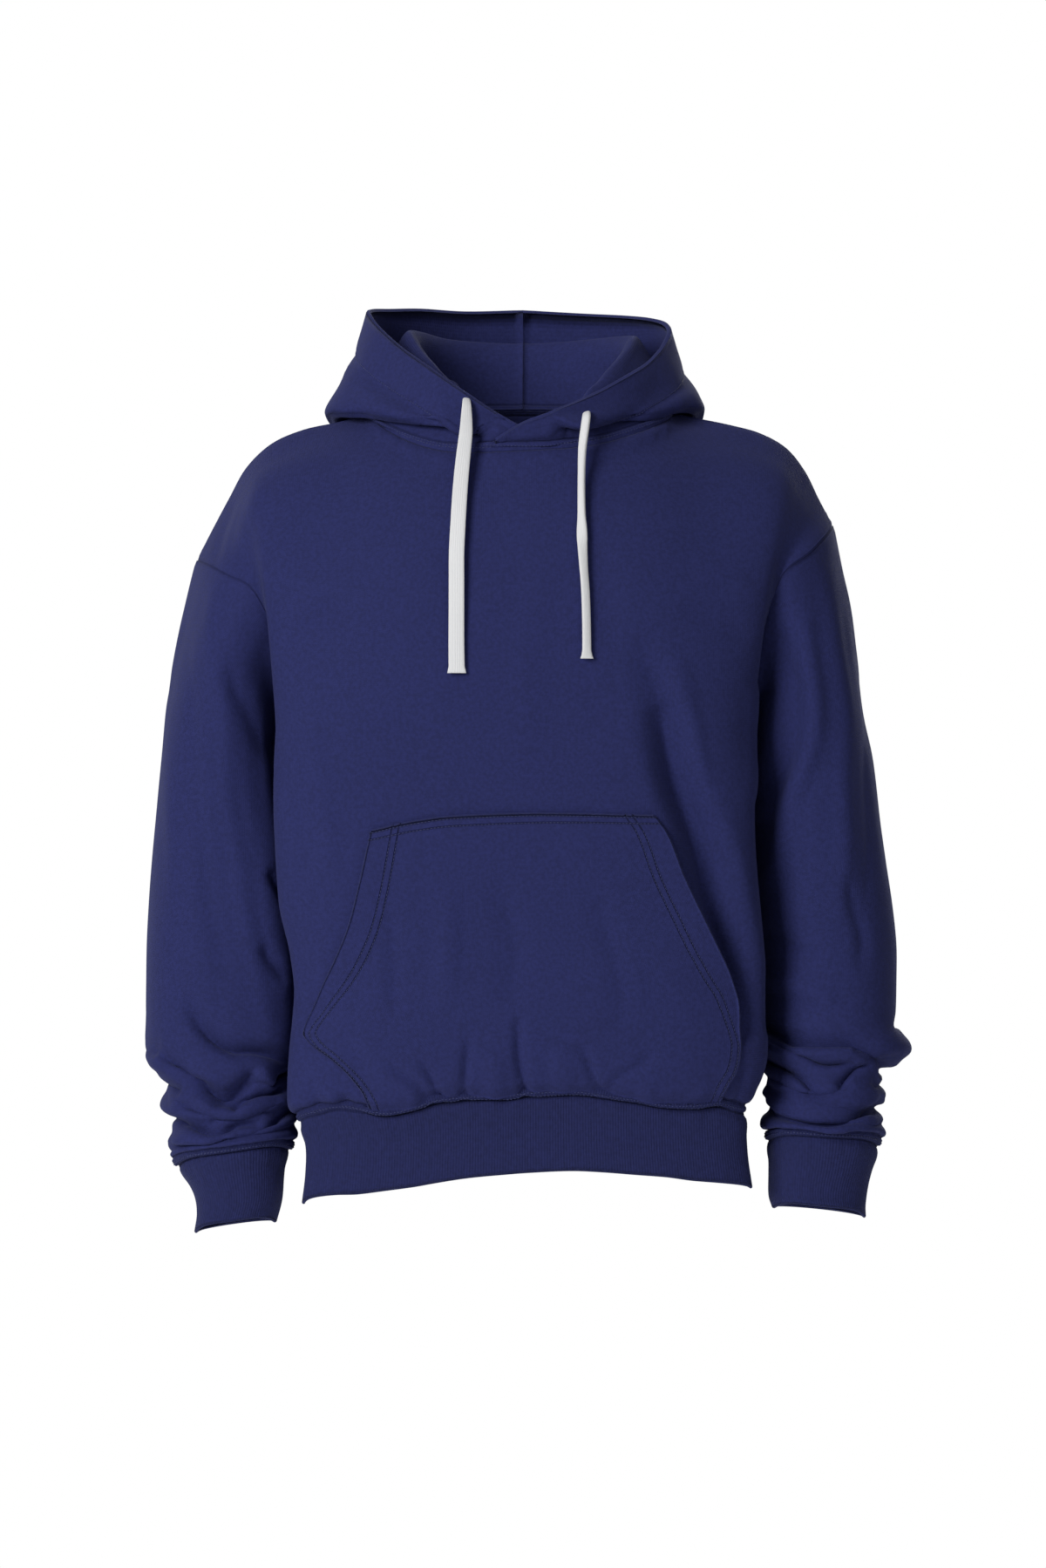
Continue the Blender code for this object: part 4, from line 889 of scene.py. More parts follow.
def neck_half(side, front):
    """Half the neck seam, from the middle to the top of the shoulder."""
    a = NECK_HALF_WIDTH[COLUMNS_OF[side]] * MM
    b, start, count = (NECK_FRONT_Y, 0, NECK_FRONT) if front else (NECK_BACK_Y, 180, NECK_BACK)
    angle = np.linspace(start, 90, 91)
    turn = np.radians(angle)
    z = through(NECK, angle)[:, COLUMNS_OF[side]] * MM
    return even(np.stack([SIGN[side] * a * np.sin(turn), -b * MM * np.cos(turn), z], axis=1), count)


def shoulder_half(side):
    table = np.array(SHOULDER_SEAM, float)[:, 2 * COLUMNS_OF[side] :] * MM
    y = np.linspace(*SHOULDER_Y, len(table)) * MM
    points = np.stack([SIGN[side] * table[:, 0], y, table[:, 1]], axis=1)
    return even(spline(points, np.linspace(0, 1, 120)), SHOULDER)


def armhole_half(side, front, under, tip):
    """One side of an armhole, from the underarm to the low end of the shoulder seam."""
    table = np.array(ARMHOLE_FRONT if front else ARMHOLE_BACK, float)
    table = table[:, 3 * COLUMNS_OF[side] :][:, :3] * MM * [SIGN[side], 1, 1]
    return even(spline([under, *table, tip], np.linspace(0, 1, 200)), ARMHOLE)


def upper_body(front, bottom):
    """The panel above the underarm: straight from below to above, plus what each shaping line adds."""
    half = HALF_FRONT if front else HALF_BACK
    sides = ("left", "right") if front else ("right", "left")
    halves = [np.concatenate([neck_half(side, front), shoulder_half(side)[1:]]) for side in sides]
    top = np.concatenate([halves[0][::-1], halves[1][1:]])
    rise = np.linspace(0, 1, ARMHOLE + 1)
    straight = bottom[None] + rise[:, None, None] * (top - bottom)[None]
    added = {}
    for side, turn in zip(sides, (-1, 1)):
        for column, rows in (FRONT_LINES if front else BACK_LINES).items():
            place = half + turn * column
            inside = [(SIGN[side] * row[COLUMNS_OF[side]] * MM, row[2] * MM, row[3] * MM) for row in rows]
            added[turn * column] = spline([bottom[place], *inside, top[place]], rise) - straight[:, place]
        place = half + turn * half
        added[turn * half] = armhole_half(side, front, bottom[place], top[place]) - straight[:, place]
    rows = [(column, *added[column].ravel()) for column in sorted(added)]
    bulge = through(rows, np.arange(-half, half + 1)).reshape(2 * half + 1, ARMHOLE + 1, 3)
    return straight + bulge.transpose(1, 0, 2)


def body_panel(front):
    low = lower_body(front)
    points = np.concatenate([low, upper_body(front, low[-1])[1:]])
    half = HALF_FRONT if front else HALF_BACK
    near_arm = before(half, NEAR_ARM, np.abs(np.arange(2 * half + 1) - half))
    near_top = before(len(low), NEAR_TOP, np.arange(len(points)))
    return relax(points, RELAX_SHARE * near_top[:, None] * near_arm, RELAX_ROUNDS)


def hem_band():
    rows = []
    shares = np.linspace(0, 1, BAND_ROWS)
    for share, row in zip(shares, through(HEM_BAND, shares) * MM):
        ring = []
        for front in (True, False):
            section = whole_section(row, front)
            top, low = level_of(HEM_SEAM_Z, front), level_of(HEM_EDGE_Z, front)
            section[:, 2] = top + (low - top) * share
            ring.append(section[:-1])
        rows.append(np.concatenate(ring))
    return np.array(rows)


# ---------------- sleeves and cuffs
def oval(row, side):
    """A ring from its inner side over the front to its outer side and back behind."""
    out_x, out_z, in_x, in_z, y, depth = row
    middle = np.array([SIGN[side] * (out_x + in_x) / 2, y, (out_z + in_z) / 2])
    reach = np.array([SIGN[side] * (out_x - in_x) / 2, 0, (out_z - in_z) / 2])
    angle = np.linspace(math.pi, 0, 120)[:, None]
    c, s = power(np.cos(angle), OVAL), power(np.sin(angle), OVAL)
    front, back = (even(middle + c * reach + s * np.array([0, turn * depth, 0]), ARMHOLE) for turn in (-1, 1))
    return np.concatenate([front, back[::-1][1:-1]])


def ovals(table, side, places):
    """Rings at some places, counted in the rows of the table."""
    return [oval(row, side) for row in through([(i, *row) for i, row in enumerate(table)], places) * MM]


def rolls(side, place):
    """How far the pushed-up rolls stand out of one ring, for each of its points."""
    turn = np.arange(2 * ARMHOLE) * math.pi / ARMHOLE
    outer, forward = (1 - np.cos(turn)) / 2, np.sin(turn)
    front, behind = np.clip(forward, 0, 1), np.clip(-forward, 0, 1)
    height = np.zeros(2 * ARMHOLE)
    for at_out, at_in, at_front, h_out, h_front, h_in, h_back, width in ROLLS[side]:
        level = at_in + (at_out - at_in) * outer
        level = level + front * (at_front - level)
        tall = h_in + (h_out - h_in) * outer
        tall = tall + front * (h_front - tall) + behind * (h_back - tall)
        height += tall * MM * hump(np.clip(np.abs(place - level) / width, 0, 1))
    return height


def sleeve(side, armhole):
    last = len(SLEEVE[side]) - 1
    upper, rolled = SLEEVE_STEPS
    places = [*np.linspace(0, ROLLS_FROM, upper + 1), *np.linspace(ROLLS_FROM, last, rolled + 1)[1:]]
    rings = ovals(SLEEVE[side], side, places)
    gap = armhole - rings[0]
    rows = []
    for place, ring in zip(places, rings):
        ring = ring + gap * (1 - smooth(0, SLEEVE_FADE, place))
        out = unit((ring - ring.mean(axis=0)) * ROLLS_OUT)
        rows.append(ring + out * rolls(side, place)[:, None])
    return np.array([armhole, *rows[1:-1], rings[-1]])


# ---------------- hood
def hood_profile(side, seam):
    """One line of the hood, from the neck seam over the roll, down into the fold and up to the front edge."""
    angle = math.degrees(math.atan2(abs(seam[0]), -seam[1]))
    roll_r, roll_z, fold_r, fold_z, edge_r, edge_z = through(HOOD[side], [angle])[0] * MM
    seam_r, seam_z = math.hypot(seam[0], seam[1]), seam[2]
    room = min(fold_r - roll_r, HOOD_ROOM)
    dip = min((roll_z - fold_z) * HOOD_DIP[0], HOOD_DIP[1])
    high, low = roll_z - dip, fold_z + dip
    swell = float(through(HOOD_SWELL, [angle])[0, 0])
    # the fold stays clear of the cloth that rises from the neck seam
    rising = np.interp((low, fold_z), (seam_z, high), (seam_r, roll_r)) + min(LAYERS_APART, 0.5 * room)
    inside = max(fold_r - INSIDE * room, rising[0])
    bottom = max((inside + fold_r) / 2, rising[1])
    knots = (
        (seam_r, seam_z),
        ((seam_r + roll_r) / 2 - RISE_IN * room, (seam_z + high) / 2),
        (roll_r - ROLL_IN * room, high),
        (roll_r + TOP_OUT * room, roll_z),
        (roll_r + DOWN_OUT * room, high),
        ((roll_r + DOWN_OUT * room + inside) / 2, (high + low) / 2),
        (inside, low),
        (bottom, fold_z),
        (fold_r + FRONT_OUT * room, low),
        ((fold_r + edge_r) / 2 + swell, (low + edge_z) / 2),
        (edge_r, edge_z),
    )
    flat = np.column_stack([knots, np.zeros(len(knots))])
    at = along(flat)
    profile = spline(flat, np.interp(HOOD_ROWS, range(len(knots)), at / at[-1]))
    if angle < HOOD_PLAIN[side]:
        profile = flat[0] + PLAIN_ROWS[:, None] * (flat[-1] - flat[0])
    turn = math.radians(angle) * np.sign(seam[0])
    return np.stack([profile[:, 0] * math.sin(turn), -profile[:, 0] * math.cos(turn), profile[:, 1]], axis=1)


def hood_points(side, neck):
    lines = [hood_profile(side, seam) for seam in neck]
    lines[0] = neck[0] + HOOD_TIP * PLAIN_ROWS[:, None] * unit(lines[1][-1] - lines[1][0])
    half = np.array(lines).transpose(1, 0, 2)
    if side == "left":
        # this side spreads a little wider and stands a little higher at its back corner
        high, for_rise, for_spread = HOOD_CORNER
        half[..., 2] += HOOD_RISE * smooth(*high, half[..., 2]) * smooth(*for_rise, -half[..., 0])
        half[..., 0] -= HOOD_SPREAD * smooth(*for_spread, -half[..., 0])
        return half
    outward = unit(unit(half[0] * [1, 1, 0]) + [0, 0, LAP_UP])
    off_seam = smooth(0, LAP_RISE, PLAIN_ROWS)[:, None, None]
    return half + outward * HOOD_LAP * (1 - smooth(*LAP_COLUMNS, np.arange(len(neck))))[:, None] * off_seam


def gather(x, share):
    """Height of the gathers above the hem at one point of the pocket."""
    height = 0.0
    for at_x, tall, width, reach in GATHERS:
        near = max(0.0, 1 - abs(x / MM - at_x) / width)
        height += tall * MM * near * near * (3 - 2 * near) * (1 - float(smooth(0, reach, share)))
    return height


# ---------------- camera, light and floor
def place_in_scene(name, data, location=(0, 0, 0)):
    made = bpy.data.objects.new(name, data)
    made.location = location
    bpy.context.scene.collection.objects.link(made)
    return made


def camera():
    data = bpy.data.cameras.new("camera")
    data.sensor_width = SENSOR
    data.lens = SENSOR * CAMERA_AWAY / (IMAGE[1] * METRES_PER_PIXEL)
    view = place_in_scene("camera", data, (0, -CAMERA_AWAY, CAMERA_Z))
    view.rotation_euler = (math.pi / 2, 0, 0)
    bpy.context.scene.camera = view


def area_light(name, place, target, size, watts):
    data = bpy.data.lights.new(name, "AREA")
    data.shape = "RECTANGLE"
    data.size, data.size_y = size
    data.energy = watts
    lamp = place_in_scene(name, data, place)
    lamp.rotation_euler = (Vector(target) - Vector(place)).to_track_quat("-Z", "Y").to_euler()
    lamp.visible_camera = False


def studio_world():
    """Even, weak light from all round, and a white background behind the garment."""
    world = bpy.data.worlds.new("studio")
    world.use_nodes = True
    nodes, link = world.node_tree.nodes, world.node_tree.links.new
    soft, white = nodes["Background"], nodes.new("ShaderNodeBackground")
    soft.inputs["Color"].default_value = WHITE
    soft.inputs["Strength"].default_value = WORLD_STRENGTH
    white.inputs["Color"].default_value = WHITE
    either = nodes.new("ShaderNodeMixShader")
    link(nodes.new("ShaderNodeLightPath").outputs["Is Camera Ray"], either.inputs["Fac"])
    link(soft.outputs[0], either.inputs[1])
    link(white.outputs[0], either.inputs[2])
    link(either.outputs[0], nodes["World Output"].inputs["Surface"])
    bpy.context.scene.world = world


def stage():
    bpy.context.scene.view_settings.view_transform = "Standard"
    studio_world()
    for name, light in LIGHTS.items():
        area_light(name, *light)
    turns = np.linspace(0, 2 * math.pi, FLOOR_SIDES, endpoint=False)
    mesh = bpy.data.meshes.new("floor")
    rim = [(FLOOR_RADIUS * math.cos(a), FLOOR_RADIUS * math.sin(a), FLOOR_Z) for a in turns]
    mesh.from_pydata(rim, [], [tuple(range(len(rim)))])
    mesh.materials.append(Shader("floor").finish({"Base Color": FLOOR_GREY, "Roughness": 0.9}))
    place_in_scene("floor", mesh)


# ---------------- fine grids
def weights(count, times, ring):
    """How much each of count points counts in the points of a smooth line through them, times as many."""
    steps = count if ring else count - 1
    table = np.zeros((steps * times + (not ring), count))
    for n, row in enumerate(table):
        i = min(n // times, steps - 1)
        t = n / times - i
        cubic = (
            -0.5 * t**3 + t**2 - 0.5 * t,
            1.5 * t**3 - 2.5 * t**2 + 1,
            -1.5 * t**3 + 2 * t**2 + 0.5 * t,
            0.5 * t**3 - 0.5 * t**2,
        )
        for k, share in zip(range(i - 1, i + 3), cubic):
            if ring or 0 <= k < count:
                row[k % count] += share
            else:
                # past its end the line runs on straight
                end, before = (0, 1) if k < 0 else (-1, -2)
                row[end] += 2 * share
                row[before] -= share
    return table


def finer(points, times, ring=False):
    rows, columns = weights(points.shape[0], times[0], False), weights(points.shape[1], times[1], ring)
    return np.einsum("ij,jkc,lk->ilc", rows, points, columns)


def settle(points, edge, reach):
    """Moves the first row of a grid onto an edge that it's sewn to, and the rows near it part of the way."""
    share = 1 - smooth(0, reach, np.arange(len(points)))
    return points + share[:, None, None] * (edge - points[0])[None]


def from_side(grid, side):
    """A view of a grid whose first row is the edge on that side."""
    turned = np.swapaxes(grid, 0, 1) if side in ("left", "right") else grid
    return turned[::-1] if side in ("last", "right") else turned


def corners(grid):
    """The grid's values at the four corners of each of its cells."""
    return grid[:-1, :-1], grid[:-1, 1:], grid[1:, 1:], grid[1:, :-1]


def numbered(rows, columns):
    return np.arange(rows * columns).reshape(rows, columns)


def closed(grid):
    """The grid with its first column once more at the end."""
    return np.concatenate([grid, grid[:, :1]], axis=1)


def quads_of(number):
    return np.stack(corners(number), axis=-1).reshape(-1, 4)


def map_of(across, down):
    """Texture places of each cell's corners, from the places of the columns and rows."""
    places = np.stack(np.broadcast_arrays(across[None, :], down[:, None]), axis=-1)
    return places, np.stack(corners(places), axis=-2).reshape(-1, 4, 2)


class Cloth:
    """A fine grid of points on the middle of one piece of cloth."""

    def __init__(self, points, thickness, ring=False, facing=1.0):
        self.points = points
        self.thickness = thickness
        self.ring = ring
        self.facing = facing
        self.field = np.full(points.shape[:2] + (2,), FAR)  # how far the sewing is, for the material
        self.doubled = np.zeros(points.shape[:2])  # how much thicker it is on each side where it is doubled

    def normals(self):
        if self.ring:
            across = np.roll(self.points, -1, axis=1) - np.roll(self.points, 1, axis=1)
        else:
            across = np.gradient(self.points, axis=1)
        return unit(np.cross(across, np.gradient(self.points, axis=0))) * self.facing

    def half(self):
        return (self.thickness / 2 + self.doubled)[..., None]

    def outer(self):
        return self.points + self.normals() * self.half()

    def from_edge(self, side):
        """How far each point is from one edge of the piece, along the cloth."""
        axis = int(side in ("left", "right"))
        step = np.linalg.norm(np.diff(self.points, axis=axis), axis=2)
        far = np.insert(np.cumsum(step, axis=axis), 0, 0, axis=axis)
        return np.take(far, [-1], axis=axis) - far if side in ("last", "right") else far

    def lift(self, height):
        self.points = self.points + self.normals() * height[..., None]


# ---------------- creases and the relief of the sewing
def near_line(flat, line):
    """Distance of each point from a line, how far along the line that is, from 0 to 1, and how far above."""
    best = np.full(flat.shape[:-1], 1e9)
    place, above = np.zeros(flat.shape[:-1]), np.zeros(flat.shape[:-1])
    lengths = np.linalg.norm(np.diff(line, axis=0), axis=1)
    total, done = lengths.sum(), 0.0
    for a, b, length in zip(line[:-1], line[1:], lengths):
        t = np.clip(((flat - a) @ (b - a)) / length**2, 0, 1)
        away = flat - (a + t[..., None] * (b - a))
        gap = np.linalg.norm(away, axis=-1)
        closer = gap < best
        best = np.where(closer, gap, best)
        above = np.where(closer, away[..., 1], above)
        place = np.where(closer, (done + t * length) / total, place)
        done += length
    return best, place, above


def folds(cloth, rows, toward, sag=0.0):
    """Height of the creases at each point, and how far the cloth above them hangs down over them.

    toward is the side of the garment that the creases are on: -1 front, 1 back.
    """
    seen = smooth(*FOLDS_SEEN, cloth.normals()[..., 1] * toward)
    flat = cloth.points[..., [0, 2]] / MM
    flat = flat + np.sin(flat[..., ::-1] / WANDER_OVER + (1, 2)) * WANDER
    height, drop = np.zeros(flat.shape[:2]), np.zeros(flat.shape[:2])
    for tall, width, *line in rows:
        line = np.column_stack([line, np.zeros(len(line))])
        rounded = spline(line, np.linspace(0, 1, 4 * len(line)))
        distance, place, above = near_line(flat, rounded[:, :2])
        gap = np.clip(distance / width, 0, 1)
        profile = hump(gap) if tall > 0 else (1 - gap) ** TROUGH[0] * (1 + TROUGH[1] * gap)
        fade = np.clip(np.minimum(place, 1 - place) * FADE[0], 0, 1) ** FADE[1]
        height += tall * MM * profile * fade
        if tall < 0 and sag:
            drop += sag * tall * MM * bell(distance, 0, np.where(above > 0, *SAG_REACH) * width) * fade
    return height * seen, np.maximum(drop, -SAG_MOST) * seen


def unevenness(points):
    """Slow, slight waves that no cloth is without."""
    x, y, z = np.moveaxis(points / MM, -1, 0)
    waves = (
        np.sin(x / 31 + z / 53 + 0.4)
        + np.sin(x / 47 - z / 37 + y / 29 + 2.1)
        + 0.6 * np.sin(x / 19 + y / 23 - z / 61 + 4.0)
        + 0.5 * np.sin(z / 21 + y / 17 + x / 71)
    )
    return waves * UNEVEN / 3


def seam_relief(cloth, sides):
    """The groove of plain seams along some edges, with small puckers beside it."""
    height = np.zeros(cloth.points.shape[:2])
    depth, width = SEAM_DIP
    tall, reach, spacing = PUCKER
    for side in sides:
        far, turned = from_side(cloth.from_edge(side), side), from_side(height, side)
        at = along(from_side(cloth.points, side)[0])
        wave = np.sin(2 * math.pi * at / spacing + PUCKER_UNEVEN[0] * np.sin(at / PUCKER_UNEVEN[1]))
        turned -= depth * bell(far, 0, width)
        turned += tall * wave * np.exp(-far / reach) * smooth(*PUCKER_FROM, far)
    return height


def beside_raised(cloth, side, columns=None):
    """Cloth dips beside a raised seam and swells past the dip; columns limit its length."""
    far = cloth.from_edge(side)
    at = along(from_side(cloth.points, side)[0])
    least, more, length = BESIDE_WAVE
    wave = least + more * np.sin(2 * math.pi * at / length + 2 * np.sin(at / 0.041)) * np.sin(at / 0.027 + 1)
    dip, swell = (height * bell(far, place, width) for height, place, width in (BESIDE_DIP, BESIDE_SWELL))
    share = 1.0
    if columns is not None:
        number = np.arange(len(at))
        share = smooth(columns.start - 1, columns.start + BESIDE_ENDS, number)
        share = share * (1 - smooth(columns.stop - BESIDE_ENDS, columns.stop + 1, number))
    return (swell * wave - dip) * share


def casing_relief(hood):
    """The cloth dips along the casing's stitches and swells below them."""
    far = hood.from_edge("last")
    dip, swell = (tall * bell(far, place, width) for tall, place, width in CASING_RELIEF)
    off_seam = smooth(0, CASING_SEAM, hood.from_edge("first"))
    return (dip + swell) * smooth(CASING, CASING + CASING_END, far[:1]) * off_seam


def droop(cloth, from_z):
    """Pushed-up rolls hang over the troughs below them: what stands out sinks, below a level."""
    middle = cloth.points.mean(axis=1, keepdims=True)
    radius = np.linalg.norm((cloth.points - middle)[..., :2], axis=2)
    rows = np.arange(len(radius))
    kernel = np.exp(-((rows[:, None] - rows[None]) / DROOP_ROWS) ** 2)
    usual = kernel @ radius / kernel.sum(axis=1)[:, None]
    out = np.clip(radius - usual + DROOP_BASE, 0, None)
    level = 1 - smooth(from_z - DROOP_FADE, from_z, cloth.points[..., 2])
    cloth.points[..., 2] -= DROOP * out * level * smooth(0, DROOP_EDGE, cloth.from_edge("last"))


def hold(cloth, sides, reach=SEAM_HOLD):
    """1 away from the seams, and 0 on them."""
    return math.prod(smooth(0, reach, cloth.from_edge(side)) for side in sides)


def reshape_inner_front(side, cloth):
    """Makes the inner half of a sleeve's front flatter or rounder than an oval, down to the rolls."""
    power_of_rise, top, bottom = INNER_FRONT[side]
    count = cloth.points.shape[1]
    turn = 2 * math.pi * np.arange(count) / count
    rise = np.sin(turn)
    inner = (turn < math.pi / 2) & (rise > 0)
    more = np.where(inner, np.abs(rise) ** power_of_rise - np.abs(rise) ** OVAL, 0.0)
    depth = np.ptp(cloth.points[..., 1], axis=1)[:, None] / 2
    z = cloth.points[..., 2]
    level = smooth(bottom - INNER_LOW, bottom, z) * (1 - smooth(top - INNER_HIGH, top, z))
    cloth.points[..., 1] -= more[None] * depth * (level * smooth(*INNER_EDGE, cloth.from_edge("first")))


def arch(cloth, side, rise, reach):
    """Arches the front of a cuff's seam or edge upward, and the cloth near it with it."""
    line = from_side(cloth.points, side)[0]
    middle = line.mean(axis=0)
    forward = smooth(0, 1, (middle[1] - line[:, 1]) / (middle[1] - line[:, 1].min()))
    cloth.points[..., 2] += rise * forward[None] * (1 - smooth(0, reach, cloth.from_edge(side)))


def shift_hem(front, back, band):
    """Moves the hem seam up and down with its gathers and the band with it, and levels the band's edge."""
    y = band.points[-1, :, 1]
    beside = smooth(*HEM_SIDE[0], y) * (1 - smooth(*HEM_SIDE[1], y))
    share = np.linspace(0, 1, len(band.points))[:, None]
    band.points[..., 2] += HEM_EDGE_RISE * share * beside[None]

    def rises(points):
        shifts = through(HEM_SHIFT, np.ravel(points[..., 0]) / MM) * MM
        return np.moveaxis(shifts.reshape(*points.shape[:2], 3), -1, 0)

    for panel, column in ((front, 0), (back, 2)):
        near = 1 - smooth(0, HEM_SHIFT_REACH, panel.from_edge("first"))
        panel.points[..., 2] += rises(panel.points)[column] * near
    x, y = band.points[..., 0], band.points[..., 1]
    seam, edge, behind = rises(band.points)
    seam = np.where(y < 0, seam, behind)
    tall, reach = HEM_BACK_RISE
    behind = behind + tall * hump(np.clip(x / reach, -1, 1))
    edge = edge + (behind - edge) * smooth(*HEM_TURN, y)
    band.points[..., 2] += seam * (1 - share) + edge * share


# ---------------- meshes
def mesh_object(name, points, quads, uv, material, field=None):
    mesh = bpy.data.meshes.new(name)
    mesh.vertices.add(len(points))
    mesh.vertices.foreach_set("co", points.astype(np.float32).ravel())
    mesh.loops.add(quads.size)
    mesh.loops.foreach_set("vertex_index", quads.astype(np.int32).ravel())
    mesh.polygons.add(len(quads))
    mesh.polygons.foreach_set("loop_start", np.arange(0, quads.size, 4, dtype=np.int32))
    maps = {"cloth": uv} if field is None else {"cloth": uv, "sewing": field[quads.ravel()]}
    for layer, places in maps.items():
        mesh.uv_layers.new(name=layer).uv.foreach_set("vector", places.astype(np.float32).ravel())
    mesh.update(calc_edges=True)
    mesh.shade_smooth()
    mesh.materials.append(material)
    return place_in_scene(name, mesh)


def shell(name, cloth, material, free=()):
    """One closed piece: the grid moved out and in by half its thickness; its free edges are rounded."""
    points, normal, half = cloth.points, cloth.normals(), cloth.half()
    number, whole = numbered(*points.shape[:2]), points
    if cloth.ring:
        number, whole = closed(number), closed(points)
    across, down = (np.linalg.norm(np.diff(whole, axis=a), axis=2).mean(axis=1 - a) for a in (1, 0))
    places, uv = map_of(*(np.cumsum([0, *steps]) for steps in (across, down)))
    quads = quads_of(number)
    if cloth.facing < 0:
        quads, uv = quads[:, ::-1], uv[:, ::-1]
    flat_points, flat_normal, flat_half, field = (
        a.reshape(-1, a.shape[-1]) for a in (points, normal, half, cloth.field)
    )
    made = len(flat_points)
    all_points = [flat_points + flat_normal * flat_half, flat_points - flat_normal * flat_half]
    all_quads, all_uv, all_fields = [quads, quads[:, ::-1] + made], [uv, uv[:, ::-1]], [field, field]
    inner, made = made, 2 * made
    for side in ("first", "last") if cloth.ring else ("first", "last", "left", "right"):
        line, inside = from_side(number, side)[:2]
        rings = [line]
        if side in free:
            at, out_of, thick = flat_points[line], flat_normal[line], flat_half[line]
            out = at - flat_points[inside]
            out = unit(out - (out * out_of).sum(1, keepdims=True) * out_of)
            for turn in math.pi * np.arange(1, EDGE_ROUND) / EDGE_ROUND:
                all_points.append(at + thick * (out_of * math.cos(turn) + out * math.sin(turn)))
                all_fields.append(field[line])
                rings.append(np.arange(made, made + len(line)))
                made += len(line)
        rings.append(line + inner)
        for a, b in zip(rings[:-1], rings[1:]):
            between = np.stack([a[:-1], a[1:], b[1:], b[:-1]], axis=1)
            flip = (side in ("first", "right")) != (cloth.facing > 0)
            all_quads.append(between[:, ::-1] if flip else between)
            all_uv.append(np.repeat(from_side(places, side)[0, :-1, None], 4, axis=1))
    parts = (np.concatenate(a) for a in (all_points, all_quads, all_uv))
    return mesh_object(name, *parts, material, np.concatenate(all_fields))


def inset(cloth, side, distance):
    """Points of a line on the outer surface that runs at one distance from an edge, and the normals there."""
    grids = cloth.outer(), cloth.normals(), cloth.from_edge(side)
    surface, normal, far = (from_side(grid, side) for grid in grids)
    line, out = [], []
    for c, wanted in enumerate(np.broadcast_to(distance, far.shape[1])):
        row = float(np.interp(wanted, far[:, c], np.arange(len(far))))
        i = min(int(row), len(far) - 2)
        t = row - i
        line.append(surface[i, c] * (1 - t) + surface[i + 1, c] * t)
        out.append(normal[i, c] * (1 - t) + normal[i + 1, c] * t)
    return np.array(line), unit(np.array(out))


def stitches(name, lines, material):
    """Rows of short threads, each a small spindle lying on the cloth."""
    spacing, length, radius = STITCH
    place, thick = np.array(SPINDLE).T[..., None, None]
    turns = np.linspace(0, 2 * math.pi, SPINDLE_SIDES, endpoint=False)[:, None]
    rings = []
    for line, normal in lines:
        at = along(line)
        middles = np.arange(spacing / 2, at[-1], spacing)
        here, ahead, behind = (points_at(middles + length * k, at, line) for k in (0, 0.5, -0.5))
        run, up = unit(ahead - behind), unit(points_at(middles, at, normal))
        ways = here + up * THREAD_LIFT, run, up, np.cross(run, up)
        here, run, up, side = (way[:, None, None] for way in ways)
        round_it = np.cos(turns) * side + np.sin(turns) * up
        rings.append(here + run * (place * length) + radius * thick * round_it)
    rings = np.concatenate(rings)
    count, around_one = len(rings), rings.shape[1] * rings.shape[2]
    quads = quads_of(closed(numbered(*rings.shape[1:3]))) + around_one * np.arange(count)[:, None, None]
    quads = quads.reshape(-1, 4)
    return mesh_object(name, rings.reshape(-1, 3), quads, np.zeros((len(quads), 4, 2)), material)


def seam_band(name, a, b, material, more=0.0):
    """A raised, coverstitched seam: a low domed strip across the seam between two pieces.

    a and b give the lines of points and normals at each distance on the two sides, nearest to the seam first.
    """
    lines = [*a[::-1], *b]
    across = np.linspace(-1, 1, len(lines))
    tall = BAND_TALL * np.sqrt(np.clip(1 - np.abs(across) ** 4, 0, 1)) - BAND_SUNK
    points = np.array([line + out * (h + more) for (line, out), h in zip(lines, tall[:, None, None])])
    grid = Cloth(points, BAND_THICK, ring=True)
    if (grid.normals() * np.array([out for _, out in lines])).sum() < 0:
        grid.facing = -1.0
    return grid, shell(name, grid, material)


